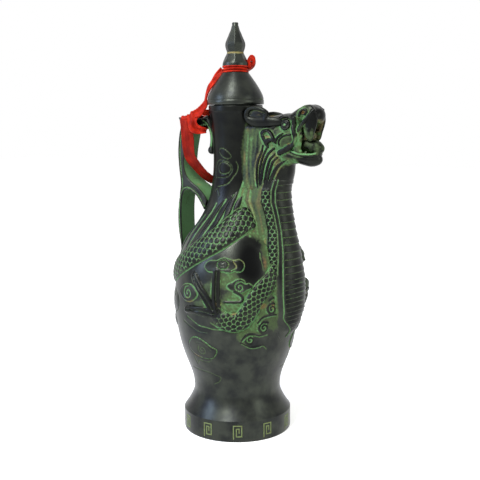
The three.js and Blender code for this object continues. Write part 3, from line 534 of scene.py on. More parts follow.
# Each patch of paint: its angle and height on the vessel, how wide and high it is, and its strength.
GREEN_GROUND = [(-58, 104, 13, 10, 0.75), (-66, 119, 9, 7, 0.7), (-52, 110, 9, 9, 0.7), (-70, 98, 8, 8, 0.7),
    (-87, 113, 5, 6, 0.5), (-94, 102, 8, 3, 0.5), (-112, 118, 7, 7, 0.2), (-47, 122, 6, 6, 0.4),
    (-33, 98, 9, 8, 0.7), (-44, 89, 9, 9, 0.75), (-53, 80, 6, 6, 0.7), (-24, 90, 8, 9, 0.6),
    (-20, 110, 7, 9, 0.7), (-28, 133, 6, 16, 0.75), (-34, 150, 8, 8, 0.8), (-40, 147, 9, 4, 0.5),
    (-33, 172, 7, 12, 0.7), (-30, 192, 4, 18, 0.65), (-27, 214, 4, 14, 0.6), (-22, 205, 7, 30, 0.75),
    (-84, 88, 14, 2, 0.2)]
BROWN_SPOTS = [(-61, 94, 4, 2.5, 1.0), (-33, 131, 2.2, 4, 0.8), (-38, 101, 4, 2, 0.6), (-47, 100, 2, 5, 0.7),
    (-24, 101, 2.5, 3, 0.7), (-37, 168, 3, 5, 0.4), (-77, 103, 2, 2, 0.6), (-60, 131, 5, 3, 0.4),
    (-108, 103, 4, 2, 0.5)]
RUBBED_BELLY = [(-46, 132, 9.5, 15, 1.0), (-44, 143, 8, 6, 0.8), (44, 148, 8, 8, 0.8)]


def vessel_relief(skin):
    """Everything cast or cut in the vessel, from the ground up to the last engraved line."""
    # Green ground between the reliefs, and the bare rubbed belly between coil and spout.
    for hand, share in ((1, 1.0), (-1, 0.8)):
        for angle, height, wide, high, strength in GREEN_GROUND:
            skin.blot("patina", angle * hand, height, wide, high, strength)
        for angle, height, wide, high, strength in BROWN_SPOTS:
            skin.blot("rust", angle * hand, height, wide, high, strength * share)
    for spot in RUBBED_BELLY:
        skin.blot("polish", *spot)
    skin.patina *= 1 - 0.9 * skin.polish

    # Flames stream up from the coil on to the neck, on round the back too.
    for root, tip, bend in (((-131, 139), (-105, 171), 6), ((-113, 146), (-83, 174), 5),
            ((-97, 152.5), (-66, 177), 4), ((-81, 157.5), (-53, 180), 3), ((-65, 162), (-43, 177), 2)):
        flame(skin, root, tip, bend)
    for angle, base in ((-152, 128), (-205, 118), (-226, 118), (-247, 120), (-268, 124), (-290, 129)):
        flame(skin, (angle, base), (angle + 24, base + 34), 5)

    for hand in (1, -1):
        cloud_relief(skin, hand)

    # Clouds low on the right of the spout and their counterparts on the far side.
    for hand in (1, -1):
        for angle, height, radius in ((-27, 98, 4.4), (-35, 85, 4.6), (-48, 77, 4.2)):
            skin.ridge(curl(angle * hand, height, radius, 1.5, 0.8, hand), 1.1, 0.9, taper=0.3)
            skin.groove(curl(angle * hand, height, radius * 0.72, 1.3, 0.8, hand), 0.4, 0.4, 0.9)
        for line in ([(-57, 75), (-48, 71.5), (-40, 71.6), (-36, 72.5), (-32, 69.8)],
                [(-41, 89), (-37, 92.5), (-30, 93.6), (-19, 93.4)],
                [(-56, 76.7), (-52, 80.5), (-46, 81.2), (-40, 79.7), (-32, 80.6)],
                [(-30, 104), (-26, 106), (-21, 104.5)]):
            skin.ridge(shifted(line, hand), 0.9, 0.8, taper=0.4)
            skin.groove(shifted(line, hand, 1.2 * hand, -1.1), 0.4, 0.4, 0.85)

    # More cloud where the coil goes round to the back, fuller than the rest.
    away = np.hypot(skin.across(-150, slice(None)) / 27, (skin.v[:, None] - 98) / 19)
    skin.height += 1.3 * np.exp(-away ** 2)
    for angle, height, radius in ((-141, 99, 9.5), (-164, 93, 8.5), (-148, 84, 6.5)):
        ring = [(angle + math.degrees(radius * 1.25 * math.cos(a) / 45), height + radius * math.sin(a) * (1
            + 0.12 * math.cos(3 * a))) for a in np.linspace(0, math.tau, 12, endpoint=False)]
        skin.plateau(ring, 1.7, edge=7.5)
        skin.groove(curl(angle, height, radius * 0.62, 1.4, 0.8), 0.55, 0.5, 0.7)
        skin.groove(ring, 0.4, 0.35, 0.5, closed=True)

    # The haunch swells beside the spout on the far side.
    skin.height += haunch_lift(skin)

    # The two scaled bodies lie over all that.
    hind = skin.scaled_body(HIND_BODY, 6.4, 2.6, 2.9, 3.6, fade_to=9)
    coil = skin.scaled_body(COIL, 8.0, 3.0, 3.3, 4.1, fade_from=11, fade_to=10)
    far_hind = skin.scaled_body(shifted(HIND_BODY, -1), 5.6, 1.8, 2.8, 3.6, 5, 9)
    skin.cover = np.maximum(np.maximum(hind, coil), far_hind)
    skin.rust *= 1 - skin.cover
    skin.polish = np.maximum(skin.polish, 0.75 * smooth(158, 190, skin.v)[:, None])
    for points, offset in ((COIL, 8.4), (HIND_BODY, 6.7)):
        distance, run, _, total = skin.along(spline(points), offset + 4)
        beside = np.exp(-((distance - offset) / 0.6) ** 2) * (run > 1) * (run < total - 1)
        skin.salt(0.75 * beside)
        skin.height -= 0.35 * beside

    # Thin cut lines: clouds on the neck, a line below the leg, stray clouds on the lower belly.
    for hand in (1, -1):
        for outline in ([(-108, 208.5), (-97, 210.4), (-84, 209), (-72, 204.5), (-82, 203), (-97, 204.8)],
                [(-108, 197.3), (-100, 200), (-85, 200), (-73, 196.8), (-77, 193.4), (-90, 192.2),
                (-104, 193.2)]):
            skin.plateau(shifted(outline, hand), 0.5, edge=0.8, cut=(0.3, 0.35, 0.5))
        for line, pale in (([(-119, 189), (-122, 196), (-112, 201), (-97, 202), (-76, 200), (-69, 195.4),
                (-78, 190.8), (-92, 189.4), (-119, 189)], 0.45), ([(-60, 201), (-55, 197.6), (-58, 193.6),
                (-68, 189.7), (-78, 185.7), (-92, 183.9), (-108, 182.9)], 0.6), ([(-117, 178.7),
                (-110, 181.4), (-101, 176.7)], 0.45), ([(-112, 91), (-103, 88), (-97, 85.9), (-89, 85.2),
                (-83, 84.4), (-75, 84.2), (-66, 83.6)], 0.8), ([(-118, 87), (-108, 84), (-98, 81.5),
                (-88, 81)], 0.5)):
            skin.groove(shifted(line, hand), 0.35, 0.4, pale)
    for turn in (0, 120, 235):
        stray = [(-110, 74.2), (-103, 76.6), (-97, 75.9), (-91, 73.7), (-86, 71.1), (-80, 68.9), (-82, 64.4),
            (-87, 61.5), (-97, 61.2), (-109, 63.4), (-115, 68)]
        skin.plateau(shifted(stray, 1, turn), 0.6, edge=1.0, cut=(0.4, 0.45, 0.75))
        skin.groove(curl(-96 + turn, 67.6, 3.9, 1.5, 2.4), 0.35, 0.35, 0.6)
        skin.groove(shifted([(-103, 72.6), (-97, 72.9), (-90, 70.4), (-85, 67.5)], 1, turn), 0.3, 0.3, 0.4)
        for line in ([(-110, 60), (-108, 55), (-103, 58.6), (-93, 58.2), (-87, 60)],
                [(-122, 50.7), (-106, 50.1), (-93, 49.4), (-85, 47.8), (-80, 46.5), (-82, 43), (-90, 40.3)]):
            skin.groove(shifted(line, 1, turn), 0.28, 0.3, 0.55)
        skin.blot("rust", -104 + turn, 62.5, 4, 1.2, 0.8)


ROWS = (
    # each band of the vessel: from, to, how many rows of faces
    (0, 1.6, 4), (1.6, 15.2, 12), (15.2, 15.8, 3), (15.8, WAIST, 30), (WAIST, BELLY_SEAM, 89),
    (BELLY_SEAM, MIDDLE_SEAM, 74), (MIDDLE_SEAM, SHOULDER_SEAM, 96), (SHOULDER_SEAM, 235, 84),
    (235, 236.6, 8), (236.6, 240.4, 6), (240.4, RIM, 4))
VESSEL_PIECES = (
    # name, the part of the vessel it stands for, from, to, widest bore's radius, columns to a face
    ("vessel_foot", "pot_foot", 0, WAIST, 28, 1), ("vessel_waist", "pot_belly", WAIST, BELLY_SEAM, 0, 1),
    ("vessel_belly", "pot_body", BELLY_SEAM, MIDDLE_SEAM, 0, 1),
    ("vessel_shoulder", "pot_body", MIDDLE_SEAM, SHOULDER_SEAM, 0, 1),
    ("vessel_neck", "pot_neck", SHOULDER_SEAM, RIM, 0, 2))
HALF_WIDTH, BACK_REACH = 46.6, 46.0


def build_vessel(columns, material):
    """The vessel in five matching pieces, its relief standing on the turned profile."""
    angles = np.arange(columns) * 360 / columns - 180
    heights = np.unique(np.concatenate([np.linspace(a, b, n + 1) for a, b, n in ROWS]).round(5))
    radii = vessel_radius(heights)
    skin = Skin(angles, heights, radii * math.pi / 180, turn=360)
    vessel_relief(skin)
    turn = np.radians(angles)[None, :]

    # Hand finishing leaves the turned faces very slightly uneven.
    uneven = 0.12 * lattice_noise(np.cos(turn) * 3.1, np.sin(turn) * 3.1, heights[:, None] / 15, 3)
    lift = skin.height + uneven * smooth(16, 30, heights)[:, None]
    slope = np.gradient(radii, heights)[:, None]
    lean = np.sqrt(1 + slope ** 2)
    radius = radii[:, None] + lift / lean
    up = heights[:, None] - lift * slope / lean * smooth(18, 24, heights)[:, None]
    wide = HALF_WIDTH / (np.abs(np.sin(turn)) + 1e-6)
    deep = np.where(np.cos(turn) < 0, BACK_REACH / (np.abs(np.cos(turn)) + 1e-6), 99)
    points = around(np.minimum(radius, np.minimum(wide, deep)), turn, up)

    # Grime stays in every hollow that is lower than what is round it.
    hollow = soften(skin.height, skin, 1.6) - skin.height
    skin.patina = np.clip(skin.patina + smooth(0.15, 0.6, hollow) * 0.4, 0, 1)
    worn = smooth(0.35, 1.2, soften(skin.height, skin, 5.0) * -0.7 + skin.height)
    skin.patina *= 1 - 0.45 * worn * (1 - skin.cover)
    for name, node, low, high, bore, step in VESSEL_PIECES:
        rows = np.flatnonzero((heights >= low - 1e-4) & (heights <= high + 1e-4))
        down = np.linspace(high, low, 9)
        bores = np.maximum(np.interp(down, heights, radii) - WALL, bore)
        outer = points[rows][:, ::step]
        inner = around(bores[:, None], turn[:, ::step], down[:, None])
        rings = np.concatenate([outer, inner, outer[:1]])
        paint = {}
        for channel in PAINT:
            field = getattr(skin, channel)[rows][:, ::step]
            paint[channel] = np.concatenate([field, np.zeros(inner.shape[:2]), field[:1]])
        piece = new_piece(name, rings, grid_faces(*rings.shape[:2]), material, paint)
        outward(piece)
        piece.data.set_sharp_from_angle(angle=math.radians(50))
        settle(piece, "root", "dark_bronze", node)


def fret_motif(line, half, radius, proud, material):
    """A square-cornered line bent round the foot: let in by half a millimetre, just proud of it."""
    line = np.asarray(fine_outline(line, 0.9))
    way = unit(np.diff(line, axis=0))
    left = np.column_stack([-way[:, 1], way[:, 0]])
    before, after = np.vstack([left[:1], left]), np.vstack([left, left[-1:]])
    aside = half * (before + after) / (1 + (before * after).sum(1, keepdims=True))
    rings = np.stack([line + aside, line - aside, line - aside, line + aside], axis=1)
    out = np.array([proud, proud, -0.5, -0.5]) + radius
    points = around(out, rings[..., 0] / radius - math.pi / 3, rings[..., 1])
    ends = np.arange(4) + [[0], [4 * len(line) - 4]]
    return outward(new_piece("foot_frets", points, np.concatenate([grid_faces(len(line), 4), ends]), material,
        {"patina": 0.9, "rust": 0.35, "polish": 0.0}))


def repeat_round_axis(piece, count, material):
    """Sets copies of the piece at even steps round the pot's axis and makes them one plain mesh."""
    tree = bpy.data.node_groups.new("repeat_round_axis", "GeometryNodeTree")
    sockets = {name: tree.interface.new_socket(name, in_out="INPUT", socket_type="NodeSocket" + kind)
        for name, kind in (("Geometry", "Geometry"), ("Count", "Int"), ("Material", "Material"))}
    tree.interface.new_socket("Geometry", in_out="OUTPUT", socket_type="NodeSocketGeometry")
    given = add_node(tree, "NodeGroupInput").outputs
    spots = add_node(tree, "GeometryNodeMeshLine", {"Offset": (0, 0, 0)}, Count=given["Count"])
    share = add_node(tree, "ShaderNodeMath", {"operation": "DIVIDE"},
        in_0=add_node(tree, "GeometryNodeInputIndex").outputs[0], in_1=given["Count"])
    turn = add_node(tree, "ShaderNodeMath", {"operation": "MULTIPLY", 1: math.tau}, in_0=share.outputs[0])
    spin = add_node(tree, "ShaderNodeCombineXYZ", Z=turn.outputs[0])
    placed = add_node(tree, "GeometryNodeInstanceOnPoints", Points=spots.outputs[0],
        Instance=given["Geometry"], Rotation=spin.outputs[0])
    real = add_node(tree, "GeometryNodeRealizeInstances", Geometry=placed.outputs[0])
    shown = add_node(tree, "GeometryNodeSetMaterial", Geometry=real.outputs[0], Material=given["Material"])
    add_node(tree, "NodeGroupOutput", Geometry=shown.outputs[0])
    modifier = piece.modifiers.new("repeat", "NODES")
    modifier.node_group = tree
    modifier[sockets["Count"].identifier] = count
    modifier[sockets["Material"].identifier] = material
    graph = bpy.context.evaluated_depsgraph_get()
    mesh = bpy.data.meshes.new_from_object(piece.evaluated_get(graph), preserve_all_data_layers=True,
        depsgraph=graph)
    piece.modifiers.remove(modifier)
    piece.data = mesh
    return piece


def build_frets(material, count):
    """Sparse square frets round the foot's upright band."""
    line = [(-3.0, 2.2), (-3.0, 12.4), (3.0, 12.4), (3.0, 4.4), (-0.9, 4.4), (-0.9, 10.2), (1.1, 10.2),
        (1.1, 6.8)]
    piece = fret_motif(line, 0.42, FOOT_RADIUS, 0.06, material)
    settle(repeat_round_axis(piece, count, material), "root", "dark_bronze", "pot_foot")


# The spout's neck

NECK_LINE = np.array([
    # height, front reach, half width, angle of the web's foot on the pot, where the web starts
    (72, 40.5, 9, 12, 60), (76, 45, 12.5, 17, 60), (80, 48.3, 15, 20, 62), (85, 51, 17, 23, 64),
    (95, 54.1, 18.8, 27, 68), (108.5, 54.7, 20.6, 31, 72), (119.5, 54.1, 19.9, 33, 76),
    (128, 52.7, 18.2, 34, 82), (138, 51, 16.1, 36, 88), (152, 47.7, 13.6, 43, 92),
    (163, 45.6, 13.8, 49, 92), (173, 44.0, 15.1, 55, 90), (181, 43.7, 14.6, 50, 90),
    (188, 45.6, 14.2, 46, 90), (196, 47.4, 13.6, 44, 90)])


def neck_at(height):
    """Front reach, half width, web foot angle and web start at a height."""
    return [np.interp(height, NECK_LINE[:, 0], NECK_LINE[:, i]) for i in (1, 2, 3, 4)]


def neck_section(height, columns):
    """Points round the near half of the neck and on into the pot, one for each column."""
    reach, half, foot, start = neck_at(height)
    middle = reach - half
    pot = float(vessel_radius(height))
    turn = np.radians(np.linspace(0, start, 40))
    arc = np.column_stack([middle + half * np.cos(turn), -half * np.sin(turn)])
    end = math.radians(foot)
    target = np.array([pot * math.cos(end), -pot * math.sin(end)])
    along_neck = np.array([-math.sin(turn[-1]), -math.cos(turn[-1])])
    along_pot = np.array([-math.sin(end), -math.cos(end)])
    gap = np.linalg.norm(target - arc[-1]) * 0.9
    t = np.linspace(0, 1, 40)[1:, None]
    web = ((2 * t ** 3 - 3 * t ** 2 + 1) * arc[-1] + (t ** 3 - 2 * t ** 2 + t) * gap * along_neck
        + (3 * t ** 2 - 2 * t ** 3) * target + (t ** 3 - t ** 2) * gap * along_pot)
    beyond = end + np.linspace(0.02, 2.4, 40)
    inside = pot - np.minimum(1.6, np.linspace(0.05, 8, 40))
    rest = np.column_stack([inside * np.cos(beyond), -inside * np.sin(beyond)])
    line = np.vstack([arc, web, rest])
    run = np.concatenate([[0], np.cumsum(np.linalg.norm(np.diff(line, axis=0), axis=1))])
    wanted = np.radians(columns) * half
    return np.column_stack([np.interp(wanted, run, line[:, i]) for i in (0, 1)])


def neck_relief(skin):
    """Belly plates, the two raised borders, the strip of scales and the green web."""
    across, u, z = skin.u[None, :], np.abs(skin.u)[None, :], skin.v[:, None]
    plate_edge = 47 * (0.35 + 0.65 * smooth(78, 92, z))
    on_plates = smooth(0.5, -1.5, u - plate_edge)

    # Belly plates: each laps over the next, in the lower part closer and bowed upwards.
    level = z - 1.6 * smooth(150, 95, z) * (1 - (u / 50) ** 2)
    plate = np.interp(level, [70, 86, 118, 130, 190], [0, 4.6, 14.2, 16.6, 28.0])
    part = plate - np.floor(plate)
    in_plates = on_plates * (1 - smooth(186.5, 188.5, level))
    line = np.exp(-((np.minimum(part, 1 - part)) / 0.08) ** 2) * in_plates
    skin.height += in_plates * (0.55 * (1 - part) ** 1.5 - 0.1) - 0.42 * line
    dull = lattice_noise(across / 9, z / 4, 0, 5)
    skin.salt(line * (0.8 + 0.2 * dull))
    skin.salt(in_plates * smooth(0.15, 0.9, dull) * 0.35)

    # Two pale borders with a dark ridge between; the outer one ends where the hind body joins.
    for away, top, low, rise, wide in ((4.2, 188, 70, 0.75, 2.1), (15.5, 186, 121, 0.7, 1.9)):
        rail = np.exp(-((u - (plate_edge + away)) / wide) ** 4)
        rail = rail * smooth(low - 2, low + 2, z) * (1 - smooth(top, top + 5, z))
        skin.height += rise * rail
        skin.salt(rail * 0.95)
    ridge = np.exp(-((u - plate_edge - 9.8) / 3.0) ** 2) * smooth(100, 122, z)
    skin.height += 0.8 * ridge
    skin.patina *= 1 - 0.9 * ridge

    # The strip of round scales, dark with pale outlines, in two staggered rows.
    aside = u - plate_edge - 30
    strip = np.exp(-(aside / 12.5) ** 8) * smooth(104, 124, z) * (1 - smooth(180, 184, z))
    scales, outline = scale_pattern(185 - z + 0 * u, aside * skin.scale, 2.7, 3.4)
    skin.height += strip * (0.6 + 0.4 * scales)
    skin.patina = skin.patina * (1 - strip) + strip * outline * 0.9

    # Behind the strip the web is green ground with long soft folds.
    web = smooth(13, 17, aside + 2.5 * smooth(150, 180, z)) * smooth(112, 135, z)
    folds = lattice_noise(across / 8 + z / 60, z / 34, 0, 9)
    skin.height += 0.45 * web * folds
    skin.salt(web * (0.7 + 0.24 * folds))
    skin.salt(smooth(58, 66, u) * (1 - smooth(112, 130, z)) * smooth(84, 92, z) * 0.75)
    skin.rust = np.maximum(skin.rust, 0.35 * web * smooth(0.1, 0.8, lattice_noise(across / 9, z / 9, 1, 12)))
    skin.polish = np.maximum(0.55 * in_plates, 0.6 * np.maximum(strip, ridge))

    # Hatched upper end of the hind body where it leaves the neck.
    for hand in (1, -1):
        for row in range(7):
            start = 118 + row * 2.3
            skin.groove([(hand * (66 + row), start), (hand * (84 + row), start - 5.5)], 0.28, 0.25, 0.45)


def build_spout_neck(material, rows, columns):
    heights = np.linspace(NECK_LINE[0, 0], 192.5, rows)
    angles = np.linspace(-168, 168, columns)
    skin = Skin(angles, heights, neck_at(heights)[1] * math.pi / 180)
    neck_relief(skin)
    hand = np.where(angles <= 1e-9, 1, -1)
    sections = np.stack([np.column_stack([neck_section(height, np.abs(angles)), np.full(columns, height)])
        for height in heights])
    sections[..., 1] *= hand
    # Its top edge sinks into the casting of the head.
    skin.height -= 3.2 * smooth(187.5, 192.5, heights)[:, None]
    sections = displaced(sections, skin.height)
    ends = sections[[0, -1]]
    ends[..., :2] = (20, 0)
    rings = np.concatenate([ends[:1], sections, ends[1:]])
    paint = {channel: np.pad(getattr(skin, channel), ((1, 1), (0, 0))) for channel in PAINT}
    piece = new_piece("spout_neck_cast", rings, grid_faces(len(rings), columns), material, paint)
    settle(outward(piece), "root", "green_bronze", "spout_neck")


def displaced(grid, lift):
    """A grid of points moved along its own normals by lift millimetres."""
    normal = unit(np.cross(np.gradient(grid, axis=1), np.gradient(grid, axis=0)), 1e-12)
    return grid + normal * lift[..., None]


# Modelling in wax: a shape held as its distance field


class Wax:
    """A block of modelling wax, alike on both sides of y = 0, cast into a mesh at the end.

    The field is the distance to the surface in millimetres, less than zero inside. Only the
    half with y of zero or more is kept.
    """

    def __init__(self, low, high, step, mirrored=True):
        self.step, self.mirrored = step, mirrored
        self.low = np.array(low, float)
        counts = [int(math.ceil((b - a) / step)) + 1 for a, b in zip(low, high)]
        self.axes = [a + step * np.arange(n) for a, n in zip(low, counts)]
        self.field = np.full(counts, 4.0, np.float32)

    def window(self, low, high):
        places = []
        for axis, a, b in zip(self.axes, low, high):
            first, last = np.searchsorted(axis, [a, b])
            places.append(slice(max(0, first - 1), min(len(axis), last + 1)))
        x, y, z = (axis[place] for axis, place in zip(self.axes, places))
        return tuple(places), x[:, None, None], y[None, :, None], z[None, None, :]

    def add(self, places, distance, blend, cut=False):
        """Adds a shape to the wax, or cuts it out, with a seam rounded over blend millimetres."""
        sign = -1 if cut else 1
        old, new = self.field[places], sign * distance
        mix = np.clip(0.5 + sign * 0.5 * (new - old) / blend, 0, 1)
        self.field[places] = new * (1 - mix) + old * mix - sign * blend * mix * (1 - mix)

    def limb(self, stations, blend=1.0, cut=False):
        """A limb through stations of x, y, z, half width in y and half height across it."""
        stations = np.asarray(stations, float)
        if len(stations) > 2:
            stations = spline(stations, 1.2)
        reach = stations[:, 3:].max() + 2 * blend + 2
        for start, end in zip(stations, stations[1:]):
            places, x, y, z = self.window(np.minimum(start, end)[:3] - reach, np.maximum(start, end)[:3]
                + reach)
            if 0 in self.field[places].shape:
                continue
            step = end - start
            length = step[0] ** 2 + step[2] ** 2 + step[1] ** 2 or 1e-9
            t = np.clip(((x - start[0]) * step[0] + (y - start[1]) * step[1] + (z - start[2]) * step[2])
                / length, 0, 1)
            wide, tall = start[3] + t * step[3], start[4] + t * step[4]
            squash = tall / wide
            plane = (x - start[0] - t * step[0]) ** 2 + (z - start[2] - t * step[2]) ** 2
            side = y - start[1] - t * step[1]
            size = np.sqrt(plane + (squash * side) ** 2) + 1e-6
            slope = np.sqrt(plane + (squash ** 2 * side) ** 2) / size + 1e-3
            self.add(places, np.clip((size - tall) / slope, -8, 8), blend, cut)

    def ball(self, centre, radii, blend=0.8):
        """An ellipsoid."""
        reach = max(radii) + 2 * blend + 1
        centre = np.asarray(centre, float)
        places, *axes = self.window(centre - reach, centre + reach)
        p, q, r = ((axis - middle) / radius for axis, middle, radius in zip(axes, centre, radii))
        size = np.sqrt(p * p + q * q + r * r) + 1e-6
        slope = np.sqrt((p / radii[0]) ** 2 + (q / radii[1]) ** 2 + (r / radii[2]) ** 2) + 1e-6
        self.add(places, size * (size - 1) / slope, blend)

    def cast(self, relief=0):
        """Vertices, quads and how deep each vertex lies in a hollow."""
        field = self.field - relief
        blurred = field
        for axis in (0, 1, 2, 0, 1, 2):
            blurred = box_blur(blurred, axis, 3)
        hollow = field - blurred
        if self.mirrored:
            field = np.concatenate([field[:, :0:-1], field], axis=1)
        grid = openvdb.FloatGrid(4.0)
        grid.copyFromArray(np.ascontiguousarray(field, np.float32))
        points, quads = grid.convertToQuads(0.0)[:2]
        points[:, 1] -= field.shape[1] - self.field.shape[1]
        index = [np.clip(np.rint(abs(points[:, i])).astype(int), 0, hollow.shape[i] - 1) for i in range(3)]
        points *= self.step
        points += self.low
        return points, quads.astype(np.int64), hollow[tuple(index)]


def slab_distance(plan, side, soft):
    """Distance to a slab of a given plan and thickness whose edges are rounded by soft."""
    plan, side = plan + soft, side + soft
    return np.hypot(np.maximum(plan, 0), np.maximum(side, 0)) - soft + np.minimum(np.maximum(plan, side), 0)


def from_line(points, line):
    """How far each point is from a line drawn on the plane through the spout."""
    line = spline(line, 0.4)
    return np.hypot(points[:, :1] - line[:, 0], points[:, 2:] - line[:, 1]).min(axis=1)


# The dragon's head

EYE = (46.0, 227.2)
CHEEK = [(52.4, 231.5), (52.2, 225.2), (53.6, 219.4), (53.8, 216.5), (51.7, 213.2), (48, 210.8),
    (43.6, 208.6), (41.9, 207.6)]
CHEEK_LEAF = [(41.6, 214.7), (43.4, 217.6), (47.8, 219.8), (51.2, 218.4), (52.0, 215.0), (50.2, 212.3),
    (47.0, 211.0), (43.2, 211.6)]
EAR = [(27.3, 221.8), (29.6, 223.8), (33.4, 224.1), (36.4, 222.0), (38.6, 219.0), (40.0, 216.0),
    (39.6, 213.9), (36.0, 215.2), (31.9, 212.6), (29.6, 215.6), (27.9, 218.6)]
MANE = [
    # each strand: its line down from ear or jaw, and half its width
    ([(29.2, 212.5), (27.6, 207), (25.4, 202.6), (24.4, 196.8), (24.8, 187.9), (26, 182)], 1.0),
    ([(33.0, 212.0), (30.0, 207.0), (28.2, 202), (27.0, 196), (26.8, 189), (27.4, 183)], 0.9),
    ([(37.6, 210.6), (33.9, 207.5), (31.8, 203.9), (30.3, 199.9), (29.2, 195), (28.4, 188.6),
        (28.6, 182.5)], 1.1),
    ([(38.2, 206.6), (35.4, 203.5), (34.4, 201.3), (32.8, 195.5), (31.4, 189), (30.4, 182.5)], 1.0),
    ([(40.2, 204.2), (37.5, 201.7), (36.4, 199), (35.1, 195), (33.6, 189.5), (32.0, 183)], 0.9),
    ([(46.2, 201.6), (42.6, 200.2), (40, 197.4), (38, 193.7), (36.2, 189.6), (34.2, 184.5)], 1.25),
]
WEB_FOLDS = [[(22.5, 225), (21.5, 214), (20.4, 203), (21.0, 193), (22.5, 184)], [(18.5, 224), (17.6, 212),
    (17.2, 200), (18.4, 189), (20.5, 181)], [(24.8, 222), (24.4, 213), (23.0, 205), (22.4, 197),
    (23.4, 187)]]
# Side of a cell of the head's drawn carving, in millimetres.
DRAWN = 0.25


def head_relief():
    """The carving of a cheek, drawn on the plane through the spout."""
    skin = Skin(np.arange(8, 75, DRAWN), np.arange(176, 246, DRAWN), np.ones(280))
    u, v = skin.u[None, :], skin.v[:, None]
    skin.patina[:] = 0.8 + 0.18 * lattice_noise(u / 6, v / 8, 0, 21)
    skin.rust[:] = smooth(0.0, 0.9, lattice_noise(u / 4, v / 12, 2, 5)) * 0.45
    for line in WEB_FOLDS:
        skin.height += 0.3 * np.exp(-(skin.along(spline(line), 5)[0] / 1.4) ** 2)
    for line, half in MANE:
        skin.ridge(line, half + 0.1, 1.3, sharp=0.8, taper=0.35)
        skin.groove([(a + half + 0.5, b - 0.3) for a, b in line], 0.42, 0.6, 1.0)
    skin.groove([(47.5, 202.6), (44.0, 200.0), (41.4, 196.8), (39.4, 192.6), (37.2, 187.5)], 0.5, 0.5, 1.0)

    # Ear: a folded leaf with a dark rim and a yellow vein.
    ear = skin.plateau(EAR, 2.1, edge=1.2)
    inner = [(29.6, 220.6), (31.2, 222.2), (33.6, 222.3), (35.8, 220.2), (37.2, 217.6), (34.2, 217.2),
        (31.6, 216.6), (30.2, 218.4)]
    dish = skin.plateau(inner, 0.0, edge=0.5)
    distance = skin.along(closed_spline(inner), 4)[0]
    skin.height = np.where(dish, skin.height - 1.5 * smooth(0, 1.2, distance), skin.height)
    skin.patina[ear] = 0.0
    skin.patina[dish] = 0.85
    skin.rust[ear] = 0
    skin.blot("rust", 33.2, 218.8, 2.4, 0.7, 0.5)
    skin.ridge([(30.4, 214.6), (32.2, 213.4), (33.4, 211.6)], 1.3, 1.6, taper=0.5)
    skin.ridge([(39.8, 214.6), (40.2, 217.2), (42.2, 219.6), (44.6, 221.0)], 0.9, 1.5, taper=0.4)

    # Cheek: the curled ridge that runs down from the brow, with a leaf sunk behind it.
    leaf = skin.plateau(CHEEK_LEAF, 0.0, edge=0.5)
    distance = skin.along(closed_spline(CHEEK_LEAF), 4)[0]
    skin.height = np.where(leaf, -1.4 * smooth(0, 1.6, distance), skin.height)
    skin.patina[leaf] = 0.8
    skin.rust[leaf] = 0
    skin.blot("rust", 49.4, 213.6, 1.8, 1.0, 0.6)
    skin.ridge([(41.8, 213.4), (41.6, 215.4), (43.4, 218.0), (46.4, 219.9), (50.2, 220.4)], 0.7, 0.9)
    skin.groove([(42.6, 212.6), (43.0, 215.6), (44.4, 217.2)], 0.6, 0.6, 0.0)
    skin.ridge(CHEEK, 1.5, 2.3, sharp=0.6, taper=0.1)
    skin.ridge([(50.0, 212.2), (46.4, 209.8), (43.0, 208.3), (42.0, 207.8)], 2.0, 2.4, sharp=0.6)
    skin.groove([(54.1, 230), (53.9, 225.2), (55.4, 219.6), (55.6, 216.2), (53.2, 211.6), (48.6, 208.4),
        (43.6, 205.9)], 0.45, 0.5, 1.0)

    # Eye: a ball with a ring cut round its pupil, a lid and a brow.
    away = np.hypot(u - EYE[0], v - EYE[1])
    skin.height = np.where(away < 5.2, np.maximum(skin.height, 0.9 * smooth(5.2, 4.2, away)), skin.height)
    ball = np.sqrt(np.clip(1 - (away / 4.1) ** 2, 0, 1))
    skin.height = np.where(away < 4.1, 0.4 + 2.2 * ball, skin.height)
    skin.patina[away < 4.1] = 0.12
    for radius, half, depth, pale in ((4.2, 0.42, 0.7, 0.75), (2.5, 0.3, 0.35, 0.55), (0.0, 1.15, 0.5, 0.95)):
        cut = 1 - smooth(half * 0.6, half * 1.35, np.abs(away - radius))
        skin.height -= depth * cut
        skin.salt(pale * cut)
    skin.ridge([(40.4, 226.4), (41.4, 230.2), (44.6, 232.6), (48.4, 232.4), (51.2, 230.2)], 0.8, 1.6,
        taper=0.3)
    skin.groove([(39.4, 226.8), (40.6, 231.4), (44.2, 234.0), (48.8, 233.6)], 0.35, 0.3, 0.7)

    # Nostril, with its curled wing, and lines along the snout.
    skin.ridge([(55.8, 233.4), (57.0, 236.6), (59.9, 237.6), (61.3, 235.8), (59.6, 234.2)], 0.9, 1.2)
    skin.blot("rust", 58.6, 235.4, 1.6, 1.1, 1.0)
    skin.height -= 1.3 * (1 - smooth(0.4, 1.2, np.hypot((u - 58.5) / 1.5, (v - 235.4) / 0.95)))
    skin.groove([(53.4, 234.6), (55.2, 237.6), (58.4, 240.0)], 0.35, 0.35, 0.9)

    # The horn's bar and the chin stay dark; the lower lip has a bright edge.
    for u0, v0, wide, high, off in ((33, 228, 9, 2.2, 0.85), (63, 201, 9, 5, 0.75), (50, 193, 6, 6, 1.0),
            (47, 187, 5, 6, 1.0), (24, 229, 7, 2.4, 0.8), (67, 207, 5, 6, 0.6)):
        skin.patina *= 1 - off * (1 - smooth(0.7, 1.25, np.hypot((u - u0) / wide, (v - v0) / high)))
    skin.blot("patina", 58.2, 212, 2.4, 6, 1.0)
    return skin


